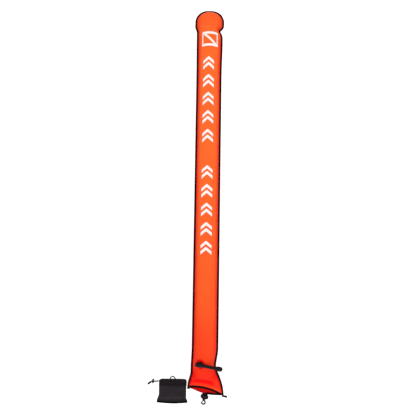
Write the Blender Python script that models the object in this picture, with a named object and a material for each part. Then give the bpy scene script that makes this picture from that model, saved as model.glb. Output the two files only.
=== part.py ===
"""An inflatable surface marker buoy that lies on the floor, with its oral inflator,
its snap hook and its storage pouch."""

import math
from types import SimpleNamespace

import bmesh
import bpy
from mathutils import Matrix, Vector

# Axes: x across the tube, y along it towards the head, z up. The origin is on the
# floor under the middle of the tube. Every size is in metres, every angle in degrees.

# Clearance between pieces that touch
GAP = 0.0003

# Bag: two fabric panels, welded flat to each other at the sides and round the head
BAG_LENGTH = 1.800
TUBE_RADIUS = 0.051
FLOOR_DENT = 0.0015
FABRIC = 0.0005
SEAM_WIDTH = 0.0071
TAPE = 0.0006
BINDING_SETBACK = 0.0007
FRONT_STRIPS = 20
BACK_STRIPS = 8

# Head of the bag
HEAD_HALF_WIDTH = 0.0608
HEAD_RISE = 0.043
HEAD_REACH = 0.054
HEAD_CORNER = 0.050
HEAD_TAPER = 0.060
HEAD_RAYS = 12
SHOULDER_FROM_TIP = 0.078
SHOULDER_LENGTH = 0.034
NECK_FROM_TIP = 0.103
NECK_LENGTH = 0.0165
NECK_PINCH = 0.0130
NECK_SWELL_RIGHT = 0.0035
NECK_SWELL_LEFT = 0.0012
NECK_SWELL_START = 0.340
NECK_SWELL_END = 0.150

# Skirt and mouth of the bag
WAIST_FROM_MOUTH = 0.118
WAIST_TAPER = 0.085
WAIST_HALF_WIDTH = 0.0475
WAIST_SWAY = -0.0065
SKIRT_FLAT = 0.040
LEFT_FLARE = 0.104
RIGHT_FLARE_POWER = 1.2
MOUTH_HALF_WIDTH = 0.074
MOUTH_RISE = 0.022
MOUTH_SEAM_HEIGHT = 0.012
MOUTH_SWAY = 0.005
MOUTH_SKEW = 12.4
MOUTH_HANG = 0.0032
FRONT_LIP_BOW = 0.017
BACK_LIP_BOW = 0.0165
LIP_TAPE_WIDTH = 0.008
LIP_TAPE_SPAN = 0.955

# Baffles that keep the air in
BAFFLE_FROM_MOUTH = 0.052
BAFFLE_LENGTH = 0.200
BAFFLE_CLOSING = 0.080
BAFFLE_PARTING = 0.0015

# Tape ends at the mouth's corners
LOOP_TAPE_WIDTH = 0.0055
LOOP_TAPE = 0.0010
LOOP_EYE_RADIUS = 0.0014
CORNER_LOOP_LENGTH = 0.024
CORNER_LOOP_ANGLE = -20.0
CORNER_LOOP_SHARE = 0.7
CORNER_TAIL_LENGTH = 0.011
CORNER_TAIL_ANGLE = 226.0
CORNER_TAIL_SHARE = 0.3

# Oral inflator
INFLATOR_FROM_MOUTH = 0.147
INFLATOR_OFFSET = -0.0135
INFLATOR_ANGLE = -12.0
PATCH_RADIUS = 0.0205
PATCH = 0.0006
AIR_BORE_RADIUS = 0.0040
HUB_RADIUS = 0.0120
HUB_HEIGHT = 0.0045
SPIGOT_RADIUS = 0.0060
SPIGOT_HEIGHT = 0.0120
ELBOW_HEIGHT = 0.0145
ELBOW_RADIUS = 0.0098
ELBOW_BACK = 0.0205
ELBOW_FRONT = 0.0160
ELBOW_NOSE_RADIUS = 0.0080
HOSE_RADIUS = 0.00625
HOSE_BORE_RADIUS = 0.0040
HOSE_SHOWN = 0.0516
HOSE_GRIP = 0.0075
MOUTHPIECE_LENGTH = 0.0314
MOUTHPIECE_NECK_RADIUS = 0.0080
MOUTHPIECE_RADIUS = 0.0110
MOUTHPIECE_RIM_RADIUS = 0.0078
VALVE_BORE_RADIUS = 0.0050
VALVE_SEAT = 0.0020
PLUNGER_STEM_RADIUS = 0.0022
PLUNGER_PROUD = 0.0025
PLUNGER_HEAD_LENGTH = 0.0155
SEAL_RADIUS = 0.0036
SEAL = 0.0015
VALVE_SPRING_RADIUS = 0.0034
VALVE_SPRING_WIRE = 0.0007
VALVE_SPRING_TURNS = 4

# Webbing tab and snap hook at the back lip
WEBBING = 0.0010
WEBBING_WIDTH = 0.0250
TAB_X = 0.0015
TAB_REACH = 0.0100
TAB_SEWN = 0.0280
TAB_ANGLE = 13.0
LIP_SETTLING = 0.040
EYE_BAR_RADIUS = 0.0025
EYE_HALF_WIDTH = 0.0180
EYE_ARM = 0.0040
EYE = 0.0060
EYE_SHOULDER = 0.0070
EYE_SLOT = 0.0052
EYE_SLOT_REACH = 0.0080
EYE_LENGTH = 0.0140
BOSS_RADIUS = 0.0048
BOSS_END = 0.0160
STEM_RADIUS = 0.0022
STEM_HEAD_RADIUS = 0.0034
STEM_HEAD = 0.0020
COLLAR = 0.0024
HOOK_RADIUS = 0.0027
HOOK_HALF_WIDTH = 0.0087
HOOK_DEPTH = 0.0188
GATE_PIVOT_SIDE = 0.0036
GATE_PIVOT_DROP = 0.0041
GATE_LENGTH = 0.0102
GATE = 0.0020
GATE_WIDTH = 0.0026
GATE_LEAN = 0.13
GATE_ROOT_RADIUS = 0.0018
GATE_PIN_RADIUS = 0.0008

# Storage pouch
POUCH_X = -0.1460
POUCH_FROM_MOUTH = 0.0465
POUCH_LENGTH = 0.1045
POUCH_HALF_WIDTH = 0.0625
POUCH_THICKNESS = 0.0280
POUCH_CROWN = 0.0020
POUCH_WALL = 0.0008
POUCH_SEAM_LEFT = 0.0733
POUCH_SEAM_RIGHT = 0.0689
POUCH_SEAM_BOW = 0.0045
POUCH_SEAM = 0.0075
POUCH_FLARE_START = 0.004
POUCH_FLARE_LEFT = 0.045
POUCH_FLARE_RIGHT = 0.024
POUCH_SWELL = 0.046
POUCH_TOP_THICKNESS = 0.0150
POUCH_TOP_TAPER = 0.036
POUCH_CORNER_DIP = 0.0050
POUCH_DIP_SPAN = 0.016
POUCH_SIDE_SHARE = 0.3
POUCH_SIDE_STRIPS = 4
POUCH_FACE_STRIPS = 4
HEM = 0.0007
HEM_WIDTH = 0.0225
HEM_TURN_IN = 0.0060
HEM_FACE_STRIPS = 8
PANEL_BELOW_RIM = 0.0056
CARRY_LOOP_RADIUS = 0.0019
CARRY_LOOP_HALF_WIDTH = 0.0140
CARRY_LOOP_HEIGHT = 0.0135
CARRY_LOOP_SEWN = 0.0120

# Drawcord and cord lock
CORD_RADIUS = 0.0011
CORD_SPACING = 0.0028
CORD_HEIGHT = 0.0052
CORD_EXIT_ANGLE = 24.0
CORD_EXIT_BEND = 0.0016
CORD_TWIST_REACH = 0.0145
LOCK_REACH = 0.0291
LOCK_BELOW_RIM = 0.0105
LOCK_RADIUS = 0.0046
LOCK_TIP = 0.0102
LOCK_TOP = 0.0068
LOCK_BORE_RADIUS = 0.0032
LOCK_SPRING_BORE_RADIUS = 0.0021
LOCK_FLOOR = 0.0086
BUTTON_RADIUS = 0.0040
BUTTON = 0.0014
LOCK_TRAVEL = 0.0024
LOCK_SPRING_WIRE = 0.0006
LOCK_SPRING_TURNS = 3
CORD_END_LENGTH = 0.0205
CORD_END_RADIUS = 0.0046
CORD_END_REACH = 0.0370
CORD_END_BELOW_RIM = 0.0120
CORD_END_ANGLE = 35.0

# Places that follow from the sizes above
SEAM_HALF = GAP / 2 + FABRIC
BINDING_EDGE = SEAM_WIDTH + GAP + TAPE
MOUTH_Y = -BAG_LENGTH / 2
HEAD_Y = BAG_LENGTH / 2 - BINDING_EDGE - HEAD_REACH
NECK_Y = BAG_LENGTH / 2 - NECK_FROM_TIP
SHOULDER_Y = BAG_LENGTH / 2 - SHOULDER_FROM_TIP
WAIST_Y = MOUTH_Y + WAIST_FROM_MOUTH
TUBE_SEAM_HEIGHT = TUBE_RADIUS + SEAM_HALF - FLOOR_DENT
LIP_LIFT = 2 * WEBBING + TAPE + 4 * GAP
POUCH_TOP_Y = MOUTH_Y + POUCH_FROM_MOUTH
POUCH_LEFT_X = POUCH_X - POUCH_HALF_WIDTH
CORD_TWIST_X = POUCH_LEFT_X - CORD_TWIST_REACH
LOCK_X = POUCH_LEFT_X - LOCK_REACH
LOCK_Y = POUCH_TOP_Y - LOCK_BELOW_RIM
CORD_END_X = POUCH_LEFT_X - CORD_END_REACH
CORD_END_Y = POUCH_TOP_Y - CORD_END_BELOW_RIM


def clear_scene():
    for item in list(bpy.data.objects):
        bpy.data.objects.remove(item, do_unlink=True)


def mix(start, end, share):
    return start + (end - start) * share


def smooth(value, start, end):
    """0 before start, 1 after end and a soft step between them."""
    share = min(1.0, max(0.0, (value - start) / (end - start)))
    return share * share * (3.0 - 2.0 * share)


def spaced(start, end, count):
    """Evenly spaced values from start to end, with both of them."""
    return [mix(start, end, i / count) for i in range(count + 1)]


def make_material(name, color, roughness, metallic=0.0):
    material = bpy.data.materials.new(name)
    material.use_nodes = True
    shader = material.node_tree.nodes["Principled BSDF"]
    shader.inputs["Base Color"].default_value = (*color, 1.0)
    shader.inputs["Roughness"].default_value = roughness
    shader.inputs["Metallic"].default_value = metallic
    return material


def add_piece(name, bm, material, frame=None):
    """Links a mesh to the scene as one named piece, at its frame."""
    mesh = bpy.data.meshes.new(name)
    bm.to_mesh(mesh)
    bm.free()
    mesh.shade_smooth()
    mesh.set_sharp_from_angle(angle=math.radians(35))
    mesh.materials.append(material)
    piece = bpy.data.objects.new(name, mesh)
    piece.matrix_world = frame or Matrix.Identity(4)
    bpy.context.scene.collection.objects.link(piece)
    return piece


def thicken(piece, wall):
    """Gives an outer surface its wall, which goes inwards."""
    modifier = piece.modifiers.new("wall", "SOLIDIFY")
    modifier.thickness = wall
    modifier.offset = -1.0
    modifier.use_even_offset = True
    modifier.use_quality_normals = True


def combine(piece, tool, operation):
    """Cuts the tool from the piece or joins it to the piece, and hides the tool."""
    modifier = piece.modifiers.new(tool.name, "BOOLEAN")
    modifier.operation = operation
    modifier.solver = "EXACT"
    modifier.object = tool
    tool.hide_render = True
    tool.display_type = "WIRE"


def skin_strip(bm, one, other):
    """Faces between two neighbouring lines of vertices."""
    for i in range(len(one) - 1):
        bm.faces.new((one[i], one[i + 1], other[i + 1], other[i]))


def sweep(name, rings, material, frame=None, closed=False):
    """A solid through a row of like outlines, capped at both ends or closed on itself."""
    bm = bmesh.new()
    loops = [[bm.verts.new(point) for point in ring] for ring in rings]
    pairs = list(zip(loops, loops[1:]))
    if closed:
        pairs.append((loops[-1], loops[0]))
    else:
        bm.faces.new(loops[0])
        bm.faces.new(loops[-1])
    for one, other in pairs:
        skin_strip(bm, one + one[:1], other + other[:1])
    bmesh.ops.recalc_face_normals(bm, faces=bm.faces)
    return add_piece(name, bm, material, frame)


def lathe(name, profile, material, frame, steps=32):
    """Turns a closed outline of (radius, height) pairs round the frame's z axis."""
    bm = bmesh.new()
    line = [bm.verts.new((radius, 0.0, height)) for radius, height in profile]
    on_axis = profile[0][0] == 0.0 and profile[-1][0] == 0.0
    ends = zip(line, line[1:]) if on_axis else zip(line, line[1:] + line[:1])
    edges = [bm.edges.new(pair) for pair in ends]
    bmesh.ops.spin(
        bm, geom=line + edges, axis=(0, 0, 1), cent=(0, 0, 0), angle=math.tau, steps=steps
    )
    bmesh.ops.remove_doubles(bm, verts=bm.verts, dist=0.00001)
    bmesh.ops.recalc_face_normals(bm, faces=bm.faces)
    return add_piece(name, bm, material, frame)


def prism(name, outline, low, high, material, frame):
    """A straight solid of an outline in the frame's xy plane."""
    rings = [[(x, y, z) for x, y in outline] for z in (low, high)]
    return sweep(name, rings, material, frame)


def frame_along(origin, axis, side):
    """A frame at origin with z along axis and x as near to side as it goes."""
    z = Vector(axis).normalized()
    x = (Vector(side) - Vector(side).dot(z) * z).normalized()
    y = z.cross(x)
    turn = Matrix((x, y, z)).transposed().to_4x4()
    return Matrix.Translation(origin) @ turn


def curve_through(points, parts):
    """A smooth line through the points, cut into parts between neighbours."""
    points = [Vector(p) for p in points]
    padded = [2 * points[0] - points[1], *points, 2 * points[-1] - points[-2]]
    line = []
    for a, b, c, d in zip(padded, padded[1:], padded[2:], padded[3:]):
        for i in range(parts):
            t = i / parts
            line.append(
                0.5 * (2 * b + (c - a) * t + (2 * a - 5 * b + 4 * c - d) * t**2
                       + (3 * b - a - 3 * c + d) * t**3)
            )
    return line + [points[-1]]


def round_rings(line, radii, up, sides=12):
    """Round outlines square to a line that lies in the plane square to up."""
    rings = []
    for i, point in enumerate(line):
        ahead = (line[min(i + 1, len(line) - 1)] - line[max(i - 1, 0)]).normalized()
        side = ahead.cross(up)
        rings.append(
            [
                point + radii[i] * (math.cos(a) * side + math.sin(a) * up)
                for a in (math.tau * k / sides for k in range(sides))
            ]
        )
    return rings


def strap(name, line, across, width, thickness, material, frame=None):
    """A flat strap that follows a line; across is the direction of its width."""
    rings = []
    across = Vector(across).normalized()
    for i, point in enumerate(line):
        ahead = (line[min(i + 1, len(line) - 1)] - line[max(i - 1, 0)]).normalized()
        face = ahead.cross(across) * thickness / 2
        edge = across * width / 2
        rings.append(
            [point - edge - face, point + edge - face, point + edge + face, point - edge + face]
        )
    return sweep(name, rings, material, frame)


def turn_towards(centre, radius, target, steps):
    """Points round a circle from its lowest point, in a plane of (along, up), to where
    a straight line leaves for the target."""
    away = (target[0] - centre[0], target[1] - centre[1])
    end = math.atan2(away[1], away[0]) % math.tau - math.acos(radius / math.hypot(*away))
    angles = spaced(-math.pi / 2, end, steps)
    return [(centre[0] + radius * math.cos(a), centre[1] + radius * math.sin(a)) for a in angles]


def round_cord(name, line, radius, material):
    """A cord that follows a line, as a round curve with closed ends."""
    curve = bpy.data.curves.new(name, "CURVE")
    curve.dimensions = "3D"
    curve.bevel_depth = radius
    curve.bevel_resolution = 2
    curve.use_fill_caps = True
    spline = curve.splines.new("POLY")
    spline.points.add(len(line) - 1)
    for point, place in zip(spline.points, line):
        point.co = (*place, 1.0)
    curve.materials.append(material)
    piece = bpy.data.objects.new(name, curve)
    bpy.context.scene.collection.objects.link(piece)
    return piece


def coil(name, radius, wire, low, high, turns, material, frame):
    """A compression spring with its ends on the planes low and high of the frame."""
    points = turns * 9
    start, end = low + wire / 2, high - wire / 2
    rings = []
    for i in range(points + 1):
        angle = math.tau * turns * i / points
        outward = Vector((math.cos(angle), math.sin(angle), 0))
        middle = outward * radius + Vector((0, 0, mix(start, end, i / points)))
        rings.append(
            [
                middle + wire / 2 * (math.cos(a) * outward + math.sin(a) * Vector((0, 0, 1)))
                for a in (math.tau * k / 6 for k in range(6))
            ]
        )
    return sweep(name, rings, material, frame)


# Shape of the bag


def bag_row(y):
    """The bag's cross-section at y: widths, centre, seam height, rise and drop."""
    from_mouth = y - MOUTH_Y
    flare = 1.0 - smooth(from_mouth, 0.0, WAIST_FROM_MOUTH)
    slope = 1.0 - smooth(from_mouth, SKIRT_FLAT, WAIST_FROM_MOUTH)
    taper = 1.0 - smooth(from_mouth, WAIST_FROM_MOUTH, WAIST_FROM_MOUTH + WAIST_TAPER)
    head = smooth(y, HEAD_Y - HEAD_TAPER, HEAD_Y)
    body = mix(TUBE_RADIUS, WAIST_HALF_WIDTH, taper)
    sway = WAIST_SWAY * taper
    opening = max(0.0, 1.0 - from_mouth / WAIST_FROM_MOUTH)
    flare_left = 1.0 - smooth(from_mouth, 0.0, LEFT_FLARE)
    flare_right = math.sin(math.pi / 2 * min(1.0, opening)) ** RIGHT_FLARE_POWER
    swell = smooth(y, BAG_LENGTH / 2 - NECK_SWELL_START, BAG_LENGTH / 2 - NECK_SWELL_END)
    left = mix(body - sway, MOUTH_HALF_WIDTH - MOUTH_SWAY, flare_left) + NECK_SWELL_LEFT * swell
    right = mix(body + sway, MOUTH_HALF_WIDTH + MOUTH_SWAY, flare_right) + NECK_SWELL_RIGHT * swell
    shoulder = smooth(y, SHOULDER_Y - SHOULDER_LENGTH, SHOULDER_Y)
    pinch = math.exp(-(((y - NECK_Y) / NECK_LENGTH) ** 2)) * (1.0 - head**4)
    left = mix(left, HEAD_HALF_WIDTH, shoulder)
    right = mix(right, HEAD_HALF_WIDTH, shoulder) - NECK_PINCH * pinch
    seam = mix(TUBE_SEAM_HEIGHT, MOUTH_SEAM_HEIGHT, flare)
    lift = 1.0 - smooth(from_mouth, TAB_SEWN, TAB_SEWN + LIP_SETTLING)
    return SimpleNamespace(
        y=y,
        half=(left + right) / 2,
        centre=(right - left) / 2,
        seam=seam,
        rise=mix(mix(TUBE_RADIUS, MOUTH_RISE, slope), HEAD_RISE, head),
        drop=mix(seam - SEAM_HALF + FLOOR_DENT, HEAD_RISE, head),
        floor=LIP_LIFT * lift,
        flare=flare,
    )


def arc_point(half, height, u):
    """Where a circular arc over a chord is: how far across and how high; u is -1 to 1."""
    spread = 2.0 * math.atan2(height, half)
    across = half * math.sin(u * spread) / math.sin(spread)
    up = half * (math.cos(u * spread) - math.cos(spread)) / math.sin(spread)
    return across, up


def bag_point(row, u, side, inset=0.0):
    """A point of the front panel (side 1) or back panel (side -1), or inset below it."""
    height = (row.rise if side > 0 else row.drop) - inset
    across, up = arc_point(row.half - inset, height, u)
    z = row.seam + side * (SEAM_HALF + up)
    if side < 0:
        z = max(z, row.floor + inset)
    bow = FRONT_LIP_BOW if side > 0 else -BACK_LIP_BOW
    share = across / row.half
    shift = (bow * (1.0 - share**2) - MOUTH_HANG * share**2) * row.flare**2
    shift -= math.tan(math.radians(MOUTH_SKEW)) * across * row.flare
    return Vector((row.centre + across, row.y + shift, z))


def floor_share(row, inset=0.0):
    """Share of the back panel's arc on each side of the middle that the floor flattens."""
    half = row.half - inset
    spread = 2.0 * math.atan2(row.drop - inset, half)
    reach = row.seam - SEAM_HALF - row.floor - inset
    level = math.cos(spread) + reach * math.sin(spread) / half
    least = 0.12
    return max(least, math.acos(min(1.0, level)) / spread)


def bag_columns(row, side, inset=0.0):
    """The places u of the panel's vertices across a row, from left to right."""
    if side > 0:
        return spaced(-1.0, 1.0, FRONT_STRIPS)
    edge = floor_share(row, inset)
    left = spaced(-1.0, -edge, BACK_STRIPS)
    return left + [0.0] + [-u for u in reversed(left)]


def head_reach(angle):
    """How far the head's seam is from the head's pole, in a direction; 0 is to the right."""
    along = Vector((abs(math.cos(angle)), math.sin(angle)))
    corner = Vector((HEAD_HALF_WIDTH - HEAD_CORNER, HEAD_REACH - HEAD_CORNER))
    if along.y * HEAD_HALF_WIDTH <= along.x * corner.y:
        return HEAD_HALF_WIDTH / along.x
    if along.x * HEAD_REACH <= along.y * corner.x:
        return HEAD_REACH / along.y
    middle = along.dot(corner)
    return middle + math.sqrt(middle**2 - corner.length_squared + HEAD_CORNER**2)


def head_point(angle, u, side):
    """A point of the head's dome, u from 1 at the seam to 0 at the pole."""
    row = ROWS[-1]
    out, up = arc_point(head_reach(angle), HEAD_RISE, u)
    x = row.centre + out * math.cos(angle)
    return Vector((x, row.y + out * math.sin(angle), row.seam + side * (SEAM_HALF + up)))


ROWS = [
    bag_row(y)
    for y in (
        [MOUTH_Y]
        + spaced(MOUTH_Y + LIP_TAPE_WIDTH, WAIST_Y, 9)
        + spaced(WAIST_Y, WAIST_Y + WAIST_TAPER, 4)[1:]
        + spaced(WAIST_Y + WAIST_TAPER, NECK_Y - 2 * NECK_LENGTH, 5)[1:]
        + spaced(NECK_Y - 2 * NECK_LENGTH, HEAD_Y, 15)[1:]
    )
]
HEAD_ANGLES = [math.pi * (1 - k / HEAD_RAYS) for k in range(1, HEAD_RAYS)]


def seam_line():
    """The seam from the left mouth corner round the head to the right one, and which
    way is outward at each point."""
    sides = {}
    for u in (-1.0, 1.0):
        sides[u] = [bag_point(row, u, 1) for row in ROWS]
    head = [head_point(angle, 1.0, 1) for angle in HEAD_ANGLES]
    line = sides[-1.0] + head + sides[1.0][::-1]
    line = [Vector((p.x, p.y, p.z - SEAM_HALF)) for p in line]
    outward = []
    for i in range(len(line)):
        ahead = line[min(i + 1, len(line) - 1)] - line[max(i - 1, 0)]
        outward.append(Vector((-ahead.y, ahead.x, 0)).normalized())
    return line, outward


SEAM_LINE, SEAM_OUTWARD = seam_line()


def flange_point(index, side):
    """The outer edge of a panel's flat seam, at a point of the seam line."""
    edge = SEAM_LINE[index] + SEAM_OUTWARD[index] * SEAM_WIDTH
    return edge + Vector((0, 0, side * SEAM_HALF))


def bag_panel(name, side, material):
    """The front or back panel, with its flat seam, as a thin shell."""
    bm = bmesh.new()
    lines = []
    for j, row in enumerate(ROWS):
        points = [bag_point(row, u, side) for u in bag_columns(row, side)]
        ends = (flange_point(j, side), flange_point(len(SEAM_LINE) - 1 - j, side))
        lines.append([bm.verts.new(p) for p in (ends[0], *points, ends[1])])
    for one, other in zip(lines, lines[1:]):
        skin_strip(bm, one, other)
    middle = len(lines[-1]) // 2
    pole = lines[-1][middle]
    outward_shares = [-u for u in bag_columns(ROWS[-1], side)[: middle - 1]]
    rays = [lines[-1][:middle]]
    for k, angle in enumerate(HEAD_ANGLES):
        points = [head_point(angle, u, side) for u in outward_shares]
        points.insert(0, flange_point(len(ROWS) + k, side))
        rays.append([bm.verts.new(p) for p in points])
    rays.append(lines[-1][:middle:-1])
    for one, other in zip(rays, rays[1:]):
        skin_strip(bm, one, other)
        bm.faces.new((one[-1], pole, other[-1]))
    bmesh.ops.recalc_face_normals(bm, faces=bm.faces)
    if sum(face.normal.z for face in bm.faces) * side < 0:
        bmesh.ops.reverse_faces(bm, faces=bm.faces)
    piece = add_piece(name, bm, material)
    thicken(piece, FABRIC)
    return piece


def folded_tape(edge, inner, cloth):
    """The outline of a tape folded over an edge, as (outward, up) pairs. The tape goes
    from inner to edge and encloses a cloth that is cloth thick, centred on up = 0."""
    near = cloth / 2 + GAP
    far = near + TAPE
    tip = edge - TAPE
    return [
        (inner, -far), (edge - far / 2, -far), (edge, -far / 2), (edge, far / 2),
        (edge - far / 2, far), (inner, far), (inner, near), (tip, near),
        (tip, -near), (inner, -near),
    ]


def edge_binding(material):
    """The tape over the flat seam, from one mouth corner round the head to the other."""
    outline = folded_tape(BINDING_EDGE, BINDING_SETBACK, 2 * SEAM_HALF)
    rings = []
    for point, outward in zip(SEAM_LINE, SEAM_OUTWARD):
        rings.append([point + outward * out + Vector((0, 0, up)) for out, up in outline])
    sweep("edge_binding", rings, material)


def lip_binding(name, side, material):
    """The tape over one edge of the mouth."""
    outline = folded_tape(GAP + TAPE, -LIP_TAPE_WIDTH, FABRIC)
    rings = []
    columns = [u for u in bag_columns(ROWS[0], side) if abs(u) < LIP_TAPE_SPAN - 0.01]
    for u in [-LIP_TAPE_SPAN, *columns, LIP_TAPE_SPAN]:
        lip = bag_point(ROWS[0], u, side)
        inner = bag_point(ROWS[1], u, side)
        beside = bag_point(ROWS[0], u + 0.01, side) - bag_point(ROWS[0], u - 0.01, side)
        out = (lip - inner).normalized()
        up = beside.cross(out).normalized() * -side
        if up.z * side < 0:
            up = -up
        middle = lip - up * FABRIC / 2
        rings.append([middle + out * a + up * b for a, b in outline])
    sweep(name, rings, material)


def baffle(name, side, material):
    """An inner sheet that leaves a panel near the mouth and closes on its twin."""
    bm = bmesh.new()
    start = MOUTH_Y + BAFFLE_FROM_MOUTH
    lines = []
    for y in [row.y for row in ROWS if start <= row.y <= start + BAFFLE_LENGTH]:
        row = bag_row(y)
        columns = bag_columns(row, side)[::2]
        inset = FABRIC + 2 * GAP
        closing = smooth(y, start, start + BAFFLE_CLOSING)
        lowest = row.floor + inset
        row.half -= inset
        row.rise = mix(row.rise - inset, BAFFLE_PARTING, closing)
        row.drop = mix(row.drop - inset, BAFFLE_PARTING, closing)
        points = [bag_point(row, u, side) for u in columns]
        for point in points:
            point.z = max(point.z, lowest)
        lines.append([bm.verts.new(point) for point in points])
    for one, other in zip(lines, lines[1:]):
        skin_strip(bm, one, other)
    bmesh.ops.recalc_face_normals(bm, faces=bm.faces)
    if sum(face.normal.z for face in bm.faces) * side < 0:
        bmesh.ops.reverse_faces(bm, faces=bm.faces)
    piece = add_piece(name, bm, material)
    thicken(piece, FABRIC)


def tape_loop(name, corner, share, angle, length, material):
    """A short folded end of tape that leaves a mouth corner and comes down to the floor."""
    index = 0 if corner == "left" else len(SEAM_LINE) - 1
    beyond = (SEAM_LINE[index] - SEAM_LINE[1 if index == 0 else index - 1]).normalized()
    start = SEAM_LINE[index] + SEAM_OUTWARD[index] * BINDING_EDGE * share
    heading = Vector((math.cos(math.radians(angle)), math.sin(math.radians(angle)), 0))
    across = heading.cross(Vector((0, 0, 1)))
    start += beyond * (abs(across.dot(beyond)) * LOOP_TAPE_WIDTH / 2 + 1.3 * GAP)
    spacing = (LOOP_TAPE + GAP) / 2
    turn = LOOP_EYE_RADIUS + LOOP_TAPE / 2
    end_height = turn + LOOP_TAPE / 2 + GAP
    top = (0.0, start.z + spacing)
    profile = [(0.0, start.z - spacing)]
    profile += turn_towards((length - turn, end_height), turn, top, 8) + [top]
    line = [Vector((start.x, start.y, 0)) + heading * s + Vector((0, 0, z)) for s, z in profile]
    strap(name, line, across, LOOP_TAPE_WIDTH, LOOP_TAPE, material)


# Oral inflator


def front_height(x, y, above=0.0):
    """The height, over a place on the floor, of a surface that lies above the front
    panel's outer surface by a distance square to it."""
    row = bag_row(y)
    spread = 2.0 * math.atan2(row.rise, row.half)
    sine = (x - row.centre) * math.sin(spread) / row.half
    cosine = math.sqrt(1.0 - sine**2)
    up = row.half * (cosine - math.cos(spread)) / math.sin(spread)
    return row.seam + SEAM_HALF + up + above / cosine


def inflator_frames():
    """Frames of the spigot, whose z leaves the bag, and of the hose, whose z follows it."""
    y = MOUTH_Y + INFLATOR_FROM_MOUTH
    row = bag_row(y)
    x = row.centre + INFLATOR_OFFSET
    foot = Vector((x, y, front_height(x, y)))
    step = 0.002
    across = front_height(x + step, y) - front_height(x - step, y)
    along = front_height(x, y + step) - front_height(x, y - step)
    normal = Vector((-across, -along, 2 * step)).normalized()
    heading = Vector(
        (math.cos(math.radians(INFLATOR_ANGLE)), math.sin(math.radians(INFLATOR_ANGLE)), 0)
    )
    spigot = frame_along(foot, normal, heading)
    hose = frame_along(foot + normal * ELBOW_HEIGHT, heading, (0, 0, 1))
    return spigot, hose


def settle_on_bag(piece, frame, reach, lift):
    """Moves the vertices below the frame's plane along its z until they clear the bag
    by lift. Only vertices within reach of the axis are moved."""
    for vertex in piece.data.vertices:
        if vertex.co.z > 0.0 or vertex.co.xy.length > reach:
            continue
        for _ in range(6):
            place = frame @ vertex.co
            target = front_height(place.x, place.y, lift)
            vertex.co.z += target - place.z


def inflator_patch(material, frame):
    """The fabric disc welded round the inflator's foot, which follows the bag."""
    radii = spaced(AIR_BORE_RADIUS, PATCH_RADIUS, 3)
    bm = bmesh.new()
    steps = 28
    rings = []
    for radius in radii:
        ring = []
        for k in range(steps):
            angle = math.tau * k / steps
            place = frame @ Vector((radius * math.cos(angle), radius * math.sin(angle), 0))
            place.z = front_height(place.x, place.y, GAP + PATCH)
            ring.append(bm.verts.new(place))
        rings.append(ring)
    for one, other in zip(rings, rings[1:]):
        skin_strip(bm, one + one[:1], other + other[:1])
    bmesh.ops.recalc_face_normals(bm, faces=bm.faces)
    if sum(face.normal.z for face in bm.faces) < 0:
        bmesh.ops.reverse_faces(bm, faces=bm.faces)
    thicken(add_piece("inflator_patch", bm, material), PATCH)


def inflator_hub(material, frame):
    """The moulded foot on the patch, with the spigot that the elbow turns on."""
    profile = [
        (AIR_BORE_RADIUS, 0.0),
        (HUB_RADIUS * 0.55, 0.0),
        (HUB_RADIUS, 0.0),
        (HUB_RADIUS, HUB_HEIGHT * 0.6),
        (HUB_RADIUS - HUB_HEIGHT * 0.4, HUB_HEIGHT),
        (SPIGOT_RADIUS, HUB_HEIGHT),
        (SPIGOT_RADIUS, SPIGOT_HEIGHT - 0.0008),
        (SPIGOT_RADIUS - 0.0008, SPIGOT_HEIGHT),
        (AIR_BORE_RADIUS, SPIGOT_HEIGHT),
    ]
    hub = lathe("inflator_hub", profile, material, frame, 28)
    settle_on_bag(hub, frame, HUB_RADIUS + GAP, PATCH + 2 * GAP)


def inflator_elbow(material, spigot, hose):
    """The elbow: a round body with a socket for the spigot and one for the hose."""
    profile = [
        (0.0, -ELBOW_BACK),
        (ELBOW_RADIUS * 0.55, -ELBOW_BACK + 0.0008),
        (ELBOW_RADIUS * 0.88, -ELBOW_BACK + 0.0035),
        (ELBOW_RADIUS, -ELBOW_BACK * 0.55),
        (ELBOW_RADIUS, -ELBOW_BACK * 0.1),
        (ELBOW_NOSE_RADIUS + 0.0010, ELBOW_FRONT * 0.35),
        (ELBOW_NOSE_RADIUS, ELBOW_FRONT * 0.6),
        (ELBOW_NOSE_RADIUS, ELBOW_FRONT),
        (0.0, ELBOW_FRONT),
    ]
    elbow = lathe("inflator_elbow", profile, material, hose, 24)
    wide = ELBOW_RADIUS - 0.0006
    skirt = [(0.0, 0.0), (wide, 0.0), (wide, ELBOW_HEIGHT), (0.0, ELBOW_HEIGHT)]
    combine(elbow, lathe("elbow_skirt", skirt, material, spigot, 24), "UNION")
    base = HUB_HEIGHT + GAP
    roof = SPIGOT_HEIGHT + GAP
    socket = [
        (0.0, -0.006), (HUB_RADIUS + 0.004, -0.006), (HUB_RADIUS + 0.004, base),
        (SPIGOT_RADIUS + GAP, base), (SPIGOT_RADIUS + GAP, roof), (0.0, roof),
    ]
    combine(elbow, lathe("elbow_socket", socket, material, spigot, 24), "DIFFERENCE")
    bore = HOSE_BORE_RADIUS * 0.8
    passage = [(0.0, -bore), (bore, -bore), (bore, ELBOW_FRONT + GAP), (0.0, ELBOW_FRONT + GAP)]
    combine(elbow, lathe("elbow_passage", passage, material, hose, 16), "DIFFERENCE")
    floor = ELBOW_FRONT - HOSE_GRIP
    grip = [(0.0, floor), (HOSE_RADIUS + GAP, floor), (HOSE_RADIUS + GAP, ELBOW_FRONT + 0.001)]
    grip += [(0.0, ELBOW_FRONT + 0.001)]
    combine(elbow, lathe("elbow_grip", grip, material, hose, 24), "DIFFERENCE")


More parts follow.
